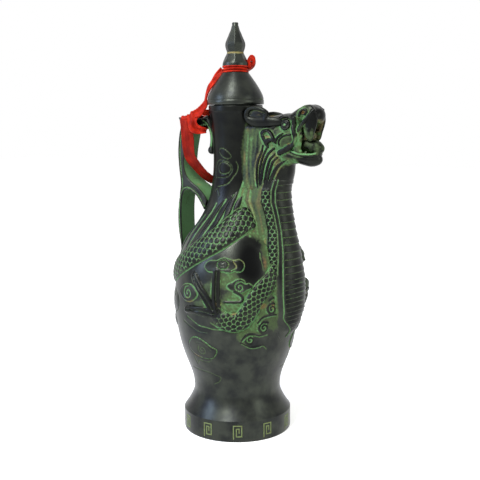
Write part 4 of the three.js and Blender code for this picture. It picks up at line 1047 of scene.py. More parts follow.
def sculpt_head(step):
    """The head and nape in wax: big forms first, then mouth, lips, fangs and tongue."""
    wax = Wax((9, 0, 179.5), (74.5, 19, 243.5), step)
    # Nape and web: a thick plate from the pot to the cheeks, over the top of the neck.
    places, x, y, z = wax.window((9, 0, 179.5), (46, 19, 232))
    thick = np.interp(x, [8, 13, 20, 31, 40, 46], [9.6, 10.7, 11.7, 12.5, 11.4, 9])
    low_thick = np.interp(x, [8, 13, 20, 28, 34, 40], [10.6, 12.2, 13.2, 13.2, 12.0, 8.6])
    thick = thick + (low_thick - thick) * smooth(206, 182, z)
    box = np.maximum(np.abs(z - 203.5) - 24.0, np.abs(x - 22) - 17.5)
    wax.add(places, slab_distance(box, y - thick, 3), 1.0)
    # Top of the neck as the neck casting leaves it, rising into the throat.
    column = []
    for height in (182, 188, 194, 199):
        reach, half = neck_at(height)[:2]
        middle = reach - half
        half -= 0.6 + 1.2 * smooth(192, 184, height)
        column.append((middle, 0, height, half, half))
    wax.limb([*column, (35.5, 0, 204, 12.6, 12.0)], 0.8)
    # Skull, brow and crown.
    wax.limb([(26, 0, 219, 9.5, 9.5), (33, 0, 217.5, 11.3, 11.5), (40, 0, 217, 11.9, 12.2),
        (46.5, 0, 219.5, 11.2, 12.0), (50, 0, 223, 9.6, 8.5)], 2.0)
    wax.limb([(22, 0, 226, 6.0, 3.0), (31, 0, 228.2, 7.5, 3.8), (38, 0, 229.6, 8.0, 4.0),
        (44, 0, 230.8, 8.4, 3.7), (49, 0, 230.2, 8.0, 3.8)], 1.2)
    wax.ball((44.6, 7.2, 231.2), (5.4, 3.4, 3.1), 1.4)
    # Snout: from the brow up to the raised nose, thick above and arched below.
    wax.limb([(46, 0, 226, 9.8, 6.8), (51, 0, 230.6, 9.9, 5.8), (55.5, 0, 234.2, 9.5, 5.0),
        (60, 0, 236.2, 9.0, 4.4), (64, 0, 235.2, 8.2, 4.0), (66.6, 0, 232.6, 6.6, 3.2)], 0.8)
    wax.limb([(58.5, 3.8, 236.8, 3.0, 3.4), (61.6, 4.6, 237.6, 3.4, 3.2)], 1.4)
    wax.limb([(66.6, 0, 233.4, 5.5, 2.6), (68.6, 0, 230.6, 4.6, 2.2), (68.8, 0, 227.6, 3.6, 1.7)], 1.0)
    # Lower jaw and chin, with the lip knob curling up at the front.
    wax.limb([(38.5, 0, 207.5, 10.8, 8.0), (45, 0, 206.0, 10.9, 7.0), (52, 0, 205.0, 10.2, 4.6),
        (57, 0, 203.4, 8.8, 4.4), (61.5, 0, 202.7, 6.6, 4.6), (65, 0, 203.0, 4.5, 4.1)], 0.9)
    # The mouth: a wide wedge from the front, running down into the throat.
    wax.limb([(47, 0, 212.5, 3.2, 3.2), (52, 0, 215.5, 6.6, 5.6), (58, 0, 219.5, 8.1, 10.2),
        (64, 0, 221.5, 8.6, 12.8), (72, 0, 221, 10, 13.5), (80, 0, 220, 12, 14)], 1.2, cut=True)
    wax.limb([(50, 0, 212.5, 3.2, 3.0), (44, 0, 208, 3.2, 3.2), (38, 0, 202, 3.2, 3.2), (34, 0, 193, 3, 3)],
        0.8, cut=True)
    places, x, y, z = wax.window((53, 0, 209), (74, 19, 236))
    gape = np.maximum(np.maximum((z - 221.6) - (x - 52.6) * 1.22, (208.6 - z) - (x - 54) * 0.02),
        54.4 + 0.05 * (z - 209) - x + np.abs(z - 216) * 0.22)
    wax.add(places, gape + 0 * y, 1.3, cut=True)
    # Upper lip: a rolled bright edge from the corner of the mouth up to the nose.
    wax.limb([(53.6, 9.3, 221.0, 1.0, 1.0), (56.4, 9.6, 225.4, 1.2, 1.2), (60.4, 9.3, 230.4, 1.2, 1.2),
        (63.6, 8.8, 234.4, 1.2, 1.2), (65.8, 7.6, 237.0, 1.2, 1.2)], 0.7)
    # Fangs hang from the sides of the palate as broad dark lobes, set in behind the lip.
    wax.limb([(62.0, 6.6, 236.0, 2.0, 4.4), (62.8, 6.8, 231.0, 1.9, 5.2), (62.6, 6.9, 226.4, 1.7, 4.5),
        (62.3, 6.8, 222.0, 1.5, 3.4), (62.7, 6.6, 217.8, 1.3, 2.2)], 1.0)
    wax.ball((67.2, 0, 233.2), (3.2, 6.2, 5.2), 1.2)
    wax.limb([(55.4, 8.0, 222.6, 1.2, 1.8), (56.8, 8.0, 219.4, 0.9, 1.1)], 0.8)
    # Corner of the mouth: a folded cheek skin between the jaws.
    wax.limb([(52.6, 8.6, 221.5, 1.5, 2.0), (54.6, 8.8, 216.0, 1.4, 2.4), (54.0, 9.0, 210.6, 1.6, 2.2),
        (56.5, 9.0, 207.6, 1.2, 1.3)], 1.3)
    # Tongue, thick and arched, with a groove down its middle.
    wax.limb([(48, 0, 210.4, 4.6, 3.0), (54, 0, 212.0, 5.4, 3.6), (59.5, 0, 212.8, 5.8, 4.6),
        (64, 0, 211.6, 5.4, 4.7), (66.8, 0, 210.4, 4.2, 3.6)], 0.8)
    wax.limb([(51, 0, 215.5, 5.0, 3.0), (56, 0, 218.8, 4.4, 3.2), (61.4, 0, 219.4, 3.4, 2.9)], 0.9)
    wax.limb([(54, 0, 215.8, 0.6, 0.8), (59.5, 0, 217.6, 0.6, 0.9), (65, 0, 216.0, 0.6, 0.9)], 0.5, cut=True)
    # Lower lip edge and its small teeth.
    wax.limb([(50.4, 9.8, 208.2, 1.0, 1.0), (54.6, 9.4, 206.8, 1.1, 1.1), (59, 8.0, 206.2, 1.2, 1.2),
        (63, 6.0, 206.0, 1.2, 1.2), (66.2, 3.4, 206.6, 1.3, 1.3), (67.2, 0, 207.0, 1.4, 1.4)], 0.8)
    for tooth in ((53.6, 8.9, 208.6), (56.6, 8.3, 208.2), (60.0, 7.3, 207.8)):
        wax.ball(tooth, (1.0, 0.9, 1.5), 0.6)
    return wax


# How far out the head is parted into its two castings.
PARTING = 41.4


def build_head(material, step):
    skin = head_relief()
    wax = sculpt_head(step)
    x, y, z = wax.axes
    drawn = skin.height[nearest(skin.v, z, DRAWN)][:, nearest(skin.u, x, DRAWN)].T[:, None, :]
    points, quads, deep = wax.cast((drawn * smooth(4.5, 7.5, y)[None, :, None]).astype(np.float32))
    x, y, z = points[:, 0], np.abs(points[:, 1]), points[:, 2]
    side, corner = smooth(2.0, 6.0, y), smooth(6.0, 8.5, y)
    at = nearest(skin.v, z, DRAWN), nearest(skin.u, x, DRAWN)
    in_mouth = (smooth(0, 2.5, x - 54.5 - 4.5 * corner) * smooth(205, 207, z) * smooth(0, -2.5, (z - 221.6)
        - (x - 52.6) * 1.22))
    patina = skin.patina[at] * side + 0.22 * (1 - side)
    fresh = corner * (1 - smooth(0.7, 1.2, np.hypot((x - 56.4) / 3.4, (z - 214) / 7)))
    within = smooth(6.4, 5.4, y) * smooth(56, 58, x) * smooth(215.5, 218, z) * smooth(233, 229, z)
    patina = patina * (1 - 0.75 * (smooth(229, 233, z) * smooth(55, 50, x)))
    patina = np.clip(patina + smooth(0.08, 0.5, deep) * 0.5 - smooth(0.12, 0.5, -deep) * 0.5, 0, 1)
    mottled = lattice_noise(*(points / 2.4).T, 17)
    tongue = smooth(219, 216, z)
    fang = smooth(227, 222, z) * (1 - tongue) * corner
    inner = 0.12 + (0.45 + 0.25 * mottled) * within + 0.3 * tongue + (0.42 + 0.3 * mottled) * fang
    patina = patina * (1 - in_mouth) + (inner + 0.2 * mottled * tongue) * in_mouth
    away = from_line(points, [(51.0, 208.8), (54.6, 207.5), (59.0, 206.9), (63.0, 206.8), (66.0, 207.3)])
    patina = np.maximum(patina, 0.95 * smooth(0.95, 0.45, away) * smooth(2.0, 4.0, y))
    rust = skin.rust[at] * side * (1 - fresh) + (0.35 - 0.5 * mottled) * in_mouth * within
    paint = {"patina": np.maximum(patina, (0.8 + 0.2 * mottled) * fresh), "rust": np.clip(rust, 0, 1),
        "polish": 0.6 + 0.3 * in_mouth}
    centre = points[quads].mean(axis=1)[:, 0]
    for name, chosen in (("dragon_nape", centre < PARTING), ("dragon_face", centre >= PARTING)):
        used, renumbered = np.unique(quads[chosen], return_inverse=True)
        piece = new_piece(name, points[used], renumbered.reshape(-1, 4), material,
            {channel: values[used] for channel, values in paint.items()})
        settle(cap_and_turn(piece), "root", "green_bronze", "dragon_head")


def cap_and_turn(piece):
    """Closes the joint where the wax was parted, so each casting is a closed body."""
    work = bmesh.new()
    work.from_mesh(piece.data)
    keep_largest(work)
    rim = [edge for edge in work.edges if edge.is_boundary]
    made = bmesh.ops.holes_fill(work, edges=rim, sides=0)["faces"] if rim else []
    bmesh.ops.triangulate(work, faces=made)
    for edge in rim:
        if edge.is_valid:
            edge.smooth = False
    bmesh.ops.recalc_face_normals(work, faces=work.faces)
    work.to_mesh(piece.data)
    work.free()
    return piece


def keep_largest(work):
    """Drops loose specks that a thin place in the wax has left."""
    seen, shells = set(), []
    for face in work.faces:
        if face in seen:
            continue
        shell, ahead = [], [face]
        seen.add(face)
        while ahead:
            shell.append(ahead.pop())
            for other in {other for edge in shell[-1].edges for other in edge.link_faces} - seen:
                seen.add(other)
                ahead.append(other)
        shells.append(shell)
    shells.sort(key=len)
    bmesh.ops.delete(work, geom=[face for shell in shells[:-1] for face in shell], context="FACES")


def build_horns(material, step):
    """Each horn is a curled leaf: a bar back from the brow whose end rolls over a dished plate."""
    wax = Wax((13, 8.5, 222), (45, 19, 242.5), step, mirrored=False)
    for stations, blend in (([(42.0, 9.6, 228.8, 1.3, 2.2), (36, 11.2, 229.2, 1.7, 3.1),
            (29, 12.4, 229.0, 1.8, 3.4), (22.4, 13.2, 229.2, 1.8, 3.0), (17.9, 13.8, 231.2, 1.8, 2.0),
            (16.8, 14.0, 234.6, 1.8, 1.6), (18.8, 14.0, 237.8, 1.8, 1.4), (23.2, 14.0, 238.9, 1.7, 1.3),
            (28.4, 13.8, 238.0, 1.6, 1.2), (32.6, 13.4, 235.9, 1.4, 1.0)], 1.1),
            ([(32.6, 13.0, 235.6, 1.2, 1.0), (31.6, 12.8, 232.4, 1.3, 1.2), (31.2, 12.6, 229.2, 1.4, 1.4)],
            0.9), ([(20.5, 12.8, 233.2, 0.9, 4.4), (25.2, 12.6, 233.2, 0.9, 4.7),
            (29.4, 12.5, 232.6, 0.9, 3.8)], 0.8),
            ([(33.0, 12.6, 230.4, 0.8, 1.4), (38.6, 10.8, 229.6, 0.8, 1.3)], 0.8)):
        wax.limb(stations, blend)
    points, quads, deep = wax.cast()
    inside = np.hypot((points[:, 0] - 25) / 6.6, (points[:, 2] - 235.0) / 2.6)
    green = smooth(1.1, 0.8, inside) * 0.34 + smooth(0.05, 0.4, deep) * 0.6
    paint = {"patina": np.clip(green, 0, 1), "rust": 0.7 * smooth(0.8, 0.4, inside), "polish": 0.6}
    for name, node, hand in (("horn_near", "horn_right", -1), ("horn_far", "horn_left", 1)):
        placed = points * (1, hand, 1)
        if hand > 0:
            placed[:, 2] = 226 + (placed[:, 2] - 226) * 0.7
        piece = new_piece(name, placed, quads, material, paint)
        settle(cap_and_turn(piece), "root", "dark_bronze", node)


# The handle

STRAP = [(-12, 231.2), (-24, 231.4), (-36.3, 231.4), (-40.4, 231.9), (-43.5, 232.5), (-42.2, 229.6),
    (-41.2, 226.9), (-43.1, 219.7), (-44.3, 207.5), (-43.7, 195.1), (-42.5, 182.6), (-44.5, 170),
    (-45.3, 156.9), (-44.5, 144.4), (-43.2, 133.1), (-41.0, 122), (-30, 124), (-20, 150), (-12, 190),
    (-10, 215)]
FINGER_GAP = [(-8, 226.2), (-27.2, 226.3), (-32.2, 226.0), (-35.2, 223.4), (-36.6, 218.0), (-38.8, 207.0),
    (-39.6, 196.5), (-37.2, 189.2), (-32.7, 184.4), (-27.2, 180.6), (-20.9, 174.2), (-15.0, 165.0), (-4, 176),
    (-4, 200)]
LOWER_GAP = [(-40.9, 126.0), (-42.0, 141.9), (-42.7, 155.3), (-42.5, 166.4), (-41.3, 174.7), (-38.6, 178.8),
    (-34.5, 178.6), (-30.4, 176.2), (-26.8, 172.2), (-22.2, 164.4), (-18.0, 154.0), (-22, 138), (-33, 124)]


def outline_distance(x, z, outline):
    """Distance from a smooth closed outline in the plane, less than zero inside."""
    ring = closed_spline(outline, 1.5)
    best = np.full(np.broadcast(x, z).shape, 1e9)
    for (x0, z0), (x1, z1) in zip(ring, np.roll(ring, -1, 0)):
        dx, dz = x1 - x0, z1 - z0
        t = np.clip(((x - x0) * dx + (z - z0) * dz) / (dx * dx + dz * dz + 1e-12), 0, 1)
        best = np.minimum(best, (x - x0 - t * dx) ** 2 + (z - z0 - t * dz) ** 2)
    return np.sqrt(best) * np.where(inside_ring(x, z, ring), -1, 1)


def build_handle(material, step, half_width):
    """The flat strap handle, its two finger gaps and the light line cut round its sides."""
    wax = Wax((-46.5, 0, 121), (-12, half_width + 1.2, 234), step)
    x, y, z = wax.axes
    outer, upper, lower = (outline_distance(x[:, None], z[None, :], outline)
        for outline in (STRAP, FINGER_GAP, LOWER_GAP))
    pot = x[:, None] + vessel_radius(z)[None, :] - 1.3
    flat = np.maximum(np.maximum(outer, -upper), np.maximum(-lower, pot))
    narrow = 6.4 * smooth(-29.5, -27.0, x)[:, None, None] * smooth(200, 212, z)
    wax.field[:] = slab_distance(flat[:, None, :], (y - half_width)[None, :, None] + narrow, 0.7)

    # The cut line keeps 1.5 mm from the strap's back and from the arch of the lower gap.
    line = np.exp(-((outer + 1.6) / 0.5) ** 2) * smooth(176, 182, z)[None, :] * smooth(228, 224, z)[None, :]
    line = np.maximum(line, np.exp(-((lower - 1.5) / 0.5) ** 2) * (x[:, None] < -14))
    on_side = smooth(half_width - 1.6, half_width - 0.6, y)[None, :, None]
    points, quads, _ = wax.cast((-0.75 * line[:, None, :] * on_side).astype(np.float32))

    at = nearest(x, points[:, 0], step), nearest(z, points[:, 2], step)
    at_side = smooth(half_width - 1.4, half_width - 1.0, np.abs(points[:, 1]))
    inner = (1 - at_side) * (np.minimum(np.abs(upper[at]), np.abs(lower[at])) < 1.0)
    patina = np.maximum(0.95 * line[at] * at_side, inner * 0.97)
    weathered = lattice_noise(points[:, 0] / 5, points[:, 1] / 5, points[:, 2] / 9, 31)
    patina = np.clip(patina + 0.15 * weathered * inner + 0.25 * smooth(0.2, 0.8, weathered), 0, 1)
    piece = new_piece("strap_handle", points, quads, material,
        {"patina": patina, "rust": 0.5 * smooth(0.4, 0.9, weathered) * inner, "polish": 0})
    settle(cap_and_turn(piece), "root", "green_bronze", "handle")


def build_handle_leaf(material, step):
    """The leaf at the handle's top end that rolls down beside the neck to a knob."""
    wax = Wax((-34, 0, 202.5), (-14, 6, 236.5), step)
    wax.limb([(-31, 0, 229.0, 4.4, 2.0), (-26.5, 0, 229.2, 4.4, 2.2), (-24.0, 0, 229.4, 4.4, 2.4)], 0.8)
    wax.limb([(-24.8, 0, 230.4, 4.6, 2.7), (-22.9, 0, 230.3, 4.9, 3.3), (-21.2, 0, 228.6, 4.9, 3.2),
        (-19.5, 0, 225.0, 4.7, 2.5), (-18.4, 0, 219.6, 4.5, 2.0), (-18.5, 0, 214.2, 4.2, 1.9),
        (-19.4, 0, 210.6, 4.0, 1.9)], 0.8)
    wax.limb([(-20.0, 0, 208.4, 4.0, 3.0), (-20.1, 0, 208.0, 4.0, 3.0)], 0.9)
    points, quads, _ = wax.cast()
    away = np.minimum(from_line(points, [(-25.0, 229.8), (-23.0, 228.6), (-21.3, 226.8)]),
        from_line(points, [(-20.3, 225.4), (-18.6, 221.0), (-18.1, 216.6), (-18.8, 211.4)]))
    patina = (1 - smooth(0.5, 0.95, away)) * smooth(2.0, 3.4, np.abs(points[:, 1]))
    piece = new_piece("handle_leaf", points, quads, material, {"patina": patina, "rust": 0, "polish": 0})
    settle(cap_and_turn(piece), "root", "dark_bronze", "handle_scroll")


# The lid


def turned(name, outline, columns, material, paint_at=None, facets=0, facet_share=None):
    """A turned piece from a closed outline of radius and height, slightly faceted if asked."""
    outline = np.asarray(outline, float)
    angles = np.arange(columns) * math.tau / columns
    shape = np.ones((len(outline), columns))
    if facets:
        corner = np.cos(math.pi / facets) / np.cos((angles + 0.31) % (math.tau / facets) - math.pi / facets)
        shape = 1 + (corner[None, :] - 1) * facet_share[:, None]
    rings = around(outline[:, :1] * shape, angles, outline[:, 1:])
    faces = grid_faces(len(rings) + 1, columns) % (len(rings) * columns)
    paint = {channel: values + np.zeros(shape.shape) for channel, values in (paint_at(outline[:, 1:],
        np.cos(angles)[None, :], np.sin(angles)[None, :]) if paint_at else {}).items()}
    piece = outward(new_piece(name, rings, faces, material, paint))
    piece.data.set_sharp_from_angle(angle=math.radians(50))
    return piece


def fine_outline(points, step):
    """A polyline with a point at least every step, its corners kept."""
    run = [points[0]]
    for (r0, z0), (r1, z1) in zip(points, points[1:]):
        count = max(1, int(math.hypot(r1 - r0, z1 - z0) / step))
        run += [(r0 + (r1 - r0) * i / count, z0 + (z1 - z0) * i / count) for i in range(1, count + 1)]
    return run


def dome_paint(height, c, s):
    """A pale line under the dome's lip and faint clouds of salts over it."""
    seam = np.exp(-((height - 244.9) / 0.5) ** 2) * 0.3
    return {"patina": seam + 0.3 * smooth(0.3, 0.9, lattice_noise(c * 4, s * 4, height / 6, 41))}


def finial_paint(height, c, s):
    """A green and brown ring in the finial's waist."""
    ring = np.exp(-((height - 278.1) / 0.75) ** 2)
    cloud = 0.25 * smooth(0.1, 0.9, lattice_noise(c * 3, s * 3, height / 4, 43))
    return {"patina": np.clip(ring + cloud, 0, 1), "rust": 0.75 * ring}


def build_lid(material):
    curve = spline([(20.4, 245.2), (19.9, 247.3), (19.1, 249.3), (18.0, 251.5), (16.9, 253.4), (15.6, 255.5),
        (14.2, 257.6), (12.7, 259.7), (11.1, 261.9), (9.7, 263.8), (9.2, 264.4)], 0.8)
    dome = [(20.1, 241.3), (20.5, 241.7), (20.5, 244.4), (20.25, 244.7), (20.2, 245.0), *map(tuple, curve),
        (6.0, 264.4), (6.0, 262.0), (9.0, 261.0), (12.4, 256.4), (16.6, 248.6), (17.2, 241.3)]
    cap = turned("lid_dome_turned", fine_outline(dome, 1.2), 160, material, dome_paint)
    settle(cap, "lid", "dark_bronze", "lid_dome")
    plug = turned("lid_plug_turned", fine_outline([(14.9, 231.0), (15.5, 231.6), (15.5, 241.3), (12.6, 241.3),
        (12.6, 231.6), (12.9, 231.0)], 1.5), 96, material)
    settle(plug, "lid", "dark_bronze", "lid_plug")

    shaft = spline([(9.3, 269.0), (9.2, 270.8), (8.4, 273.2), (7.2, 275.7), (6.2, 277.6), (6.0, 278.3),
        (6.3, 279.4), (6.9, 281.2), (7.3, 283.6), (7.0, 285.6), (6.1, 287.8), (5.2, 289.8), (4.4, 291.8),
        (3.3, 294.2), (2.7, 296.3), (2.5, 297.1)], 0.6)
    outline = [(0.02, 258.0), (4.6, 258.2), (4.8, 262), (5.6, 264.4), (7.6, 264.6), (8.0, 268.6),
        *map(tuple, shaft), (2.2, 297.4), (2.3, 299.0), (1.9, 299.5), (0.02, 299.6)]
    heights = np.array([z for _, z in outline])
    share = smooth(271, 274, heights) * (1 - 0.7 * np.exp(-((heights - 278.1) / 1.1) ** 2))
    share = share * (1 - smooth(296.6, 297.8, heights))
    finial = turned("lid_finial_faceted", outline, 128, material, finial_paint, 8, share)
    settle(finial, "lid", "dark_bronze", "lid_finial")


# The ribbon


def write_uv(piece, along, over):
    """Gives each point its place on the ribbon, along and across it in metres, as the UV map."""
    uv = np.stack(np.broadcast_arrays(along, over), -1).reshape(-1, 2)
    index = np.zeros(len(piece.data.loops), np.int32)
    piece.data.loops.foreach_get("vertex_index", index)
    layer = piece.data.uv_layers.new(name="ribbon")
    layer.data.foreach_set("uv", uv[index].astype(np.float32).ravel())


def strip(name, centre, across, width, cut, thick, material, waves, closed=False, aged=0.0):
    """A ribbon's strip along a line, as a thin shell: what is wider than width is folded under.

    across are its width directions and cut is the ribbon's full width. waves crumple it and
    are (how many along, how many across, height in millimetres, phase); the last argument
    darkens the dye towards a deep red as painted shade, for a strip that hangs in shadow.
    """
    rows, count = len(centre), 25
    across = unit(across)
    width = np.broadcast_to(width, rows)[:, None]
    share = np.linspace(-0.5, 0.5, count)
    layer = (share[None, :] + 0.5) * cut / width
    # The sine's ends are kept just short of flat, so that each fold has a small radius.
    place = np.arcsin(0.985 * np.sin((layer - 0.5) * math.pi)) / (2 * math.asin(0.985)) * width
    grid = centre[:, None] + across[:, None] * place[..., None]
    normal = unit(np.cross(np.gradient(centre, axis=0), across), 1e-9)[:, None]
    run = np.linspace(0, 1, rows)[:, None]
    lift = -0.6 * np.clip(layer - 0.8, 0, None)
    for along, over, height, phase in waves:
        lift = lift + height * np.sin(math.tau * (along * run + over * place / width) + phase)
    grid = grid + normal * lift[..., None]
    normal = unit(np.cross(np.gradient(grid, axis=0), np.gradient(grid, axis=1)), 1e-9)
    ring = np.concatenate([grid + normal * thick / 2, (grid - normal * thick / 2)[:, ::-1]], axis=1)
    columns = 2 * count
    faces = grid_faces(rows + closed, columns) % (rows * columns)
    if not closed:
        i = np.arange(count - 1)
        cap = np.stack([i, i + 1, columns - 2 - i, columns - 1 - i], -1)
        faces = np.concatenate([faces, cap, cap + (rows - 1) * columns])
    piece = new_piece(name, ring, faces, material, {"aged": aged})
    lengths = np.concatenate([[0], np.cumsum(np.linalg.norm(np.diff(centre, axis=0), axis=1))]) * MM
    write_uv(piece, lengths[:, None], np.concatenate([share, share[::-1]])[None, :] * cut * MM)
    return outward(piece), float(lengths[-1])


def satin(name, colour, shade, bright):
    """Polyester satin ribbon, woven with its threads floating lengthwise.

    The long floats give a soft silky glow across the fold; the ribs are 0.35 mm, a little
    coarser than real so that they show.
    """
    material, tree, output = new_material(name)
    uv = add_node(tree, "ShaderNodeUVMap", {"uv_map": "ribbon"}).outputs[0]
    place = add_node(tree, "ShaderNodeTexCoord").outputs["Object"]
    soft = add_node(tree, "ShaderNodeTexNoise", {"Scale": 160.0, "Detail": 3.0}, Vector=place)
    # A wave texture has 20 bands to a unit at scale 1.
    thread = add_node(tree, "ShaderNodeTexWave", {"bands_direction": "Y", "Scale": 1 / (0.35 * MM * 20),
        "Distortion": 0.6, "Detail": 1.0}, Vector=uv)
    # Noise lays soft patches of the shade and bright colours over the plain one: painted shade and painted
    # highlight, scattered at random rather than set by the folds.
    body, threads = (add_node(tree, "ShaderNodeValToRGB", {"stops": stops}, Fac=source.outputs["Fac"])
        .outputs["Color"] for stops, source in (([(0.32, shade), (0.5, colour), (0.7, bright)], soft),
        ([(0.0, 0.86), (1.0, 1.0)], thread)))
    # Painted shade: an attribute from strip darkens the dye towards #5e1006 where the ribbon hangs in shadow.
    aged = add_node(tree, "ShaderNodeAttribute", {"attribute_name": "aged"}).outputs["Fac"]
    body = add_node(tree, "ShaderNodeMix", {"data_type": "RGBA", 7: linear("#5e1006")}, in_0=aged,
        in_6=body).outputs[2]
    mixed = add_node(tree, "ShaderNodeMix", {"data_type": "RGBA", "blend_type": "MULTIPLY", 0: 1.0},
        in_6=body, in_7=threads).outputs[2]
    bump = add_node(tree, "ShaderNodeBump", {"Strength": 0.25, "Distance": 0.1 * MM},
        Height=thread.outputs["Fac"])
    shader = add_node(tree, "ShaderNodeBsdfPrincipled", {"Roughness": 0.5, "Sheen Weight": 0.02,
        "Sheen Roughness": 0.4, "Specular IOR Level": 0.07}, Base_Color=mixed, Normal=bump.outputs[0])
    tree.links.new(shader.outputs[0], output.inputs[0])
    return material


EAST, AHEAD = np.array([0.866, 0.5, 0]), np.array([-0.5, 0.866, 0])
LID_SWEEP = ((199, 9.2, 266.6), (204, 11.2, 264.2), (208, 13.5, 261.2), (210, 16.3, 256.8),
    (210, 18.7, 252.3), (210, 20.3, 247.9), (209, 21.3, 244.3))


def build_ribbons(material, width, thick):
    """Runs of one ribbon: round the finial, a bow loop, down to the handle, its knot, its tail."""
    flat = width * MM

    def lay(name, node, body, run, across, wide, waves, held, rests_on, **look):
        piece, length = strip(name, run, across, wide, width, thick, material, waves, **look)
        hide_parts(node)
        if body:
            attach(piece, body)
        return piece

    # Round the finial's base, gathered into three soft folds.
    rows, columns = 120, 31
    turn = np.linspace(0, math.tau, rows, endpoint=False)[:, None]
    share = np.linspace(0, 1, columns)[None, :]
    fold = np.abs(np.sin(math.pi * (share * 2.6 + 0.12 * np.sin(turn * 2 + 0.6) + 0.16))) ** 0.8
    radius = 8.2 + 1.5 * fold
    height = 264.0 + 5.0 * share + 0.25 * np.sin(turn * 1.0 + 2.2) * (1 - share)
    ring = np.concatenate([around(radius, turn, height), around(radius - thick, turn, height)[:, ::-1]],
        axis=1)
    faces = grid_faces(rows + 1, 2 * columns) % (rows * 2 * columns)
    tie = new_piece("ribbon_round_finial", ring, faces, material)
    write_uv(tie, turn * 0.0092, np.concatenate([share, share[:, ::-1]], axis=1) * flat)
    settle(outward(tie), "lid", "red_ribbon", "ribbon_finial_tie")

    # The bow loop stands beside the finial.
    run = spline([(*a * EAST[:2], z) for a, z in ((8.8, 266.6), (9.2, 269.6), (9.8, 272.6), (11.2, 274.6),
        (12.7, 273.8), (12.9, 271.2), (12.1, 268.6), (10.6, 266.4), (8.9, 265.4))], 0.6)
    spoke = unit(run - np.array([11.2 * EAST[0], 11.2 * EAST[1], 270.4]))
    run = run + AHEAD * np.linspace(-1.2, 1.2, len(run))[:, None]
    tilt = 0.75 + 0.35 * np.cos(np.linspace(0, math.tau, len(run)))[:, None]
    lay("ribbon_bow", "ribbon_bow_loop", "lid", run, AHEAD * np.sin(tilt) + spoke * np.cos(tilt), 4.6,
        ((1.5, 0.8, 0.35, 0.4), (3.0, 1.3, 0.15, 1.0)), "hung", ["ribbon_round_finial"])

    # The loose run down the lid to the handle lies on the dome, then twists on to its edge.
    run = spline([*((radius * math.cos(math.radians(angle)), radius * math.sin(math.radians(angle)), z)
        for angle, radius, z in LID_SWEEP), (-20.0, -10.8, 240.9), (-22.2, -11.4, 238.0),
        (-24.6, -12.0, 235.6), (-28.0, -12.4, 233.6)], 1.0)
    share = np.linspace(0, 1, len(run))[:, None]
    round_lid = unit(np.cross(run * (1, 1, 0), (0, 0, 1)))
    turned_out = unit(np.cross(np.gradient(run, axis=0), (-0.5, 0.866, -0.145)))
    twist = np.interp(share, [0, 0.3, 0.5, 0.62, 0.74, 1], [0.85, 0.75, 0.15, 0.15, 0.95, 1.0])
    wide = np.interp(share[:, 0], [0, 0.3, 0.55, 0.75, 1], [4.8, 4.2, 4.0, 4.8, 7.0])
    tether = lay("ribbon_down_to_handle", "ribbon_tether", None, run, round_lid * (1 - twist) - turned_out
        * twist, wide, ((1.0, 1.0, 0.25, 0.5), (2.4, 0.5, 0.2, 2.0), (0, 1.0, 0.3, 1.4)), "hung",
        ["lid_dome_turned", "ribbon_round_finial", "strap_handle"])
    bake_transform(tether)

    # Knot: one turn round the handle's top bar, a band slanting over it and the end that returns.
    ring = [(-34.6, -11.3, 228.6), (-34.6, -11.0, 232.3), (-34.8, -8.4, 233.3), (-35.0, 0, 233.5),
        (-35.0, 8.6, 233.3), (-34.8, 11.0, 232.2), (-34.6, 11.4, 228.6), (-34.4, 10.9, 225.0),
        (-34.2, 8.0, 224.4), (-34.0, 0, 224.2), (-34.2, -8.2, 224.4), (-34.4, -11.0, 225.2)]
    run = spline([*ring, ring[0]], 1.0)[:-1]
    lay("ribbon_turn_on_handle", "ribbon_handle_tie", "root", run, np.tile((1.0, 0, 0.0), (len(run), 1)),
        11.0, ((2.0, 1.0, 0.45, 0.6), (0, 2.0, 0.55, 0.3), (5.0, -1.0, 0.25, 0)), "gathered",
        ["strap_handle"], closed=True)

    run = spline([(-31.8, -10.8, 235.6), (-29.8, -12.9, 233.4), (-28.6, -13.7, 230.0), (-28.4, -13.6, 226.6),
        (-26.6, -12.8, 224.1), (-23.2, -10.4, 223.0), (-20.4, -7.6, 222.8)], 0.8)
    share = np.linspace(0, 1, len(run))[:, None]
    bend = smooth(0.3, 0.85, share)
    lay("ribbon_over_knot", "ribbon_handle_tie", "root", run, np.array([1.0, 0.25, 0.5]) * (1 - bend)
        + np.array([0.1, 0.1, 1.0]) * bend, np.interp(share[:, 0], [0, 0.25, 0.55, 1], [6.2, 9.4, 8.2, 3.8]),
        ((1.0, 1.4, 0.75, 0.3), (2.2, 0.6, 0.4, 1.2)), "gathered", ["ribbon_turn_on_handle"])

    run = spline([(-30.6, -12.2, 233.6), (-27.4, -11.4, 235.4), (-24.2, -8.6, 235.8), (-21.8, -4.8, 235.6),
        (-21.0, 0, 235.2), (-22.0, 4.6, 234.6), (-25.6, 7.8, 233.4), (-29.6, 9.6, 233.0)], 0.8)
    share = np.linspace(0, 1, len(run))[:, None]
    lay("ribbon_return", "ribbon_handle_tie", "root", run, np.array([0.35, 0.35, 0.95]) * (1 - share)
        + np.array([0.5, -0.4, 0.8]) * share, 4.0, ((1.0, 1.0, 0.3, 0.8), (2.6, -0.6, 0.2, 0)), "gathered",
        ["ribbon_turn_on_handle", "handle_leaf"])

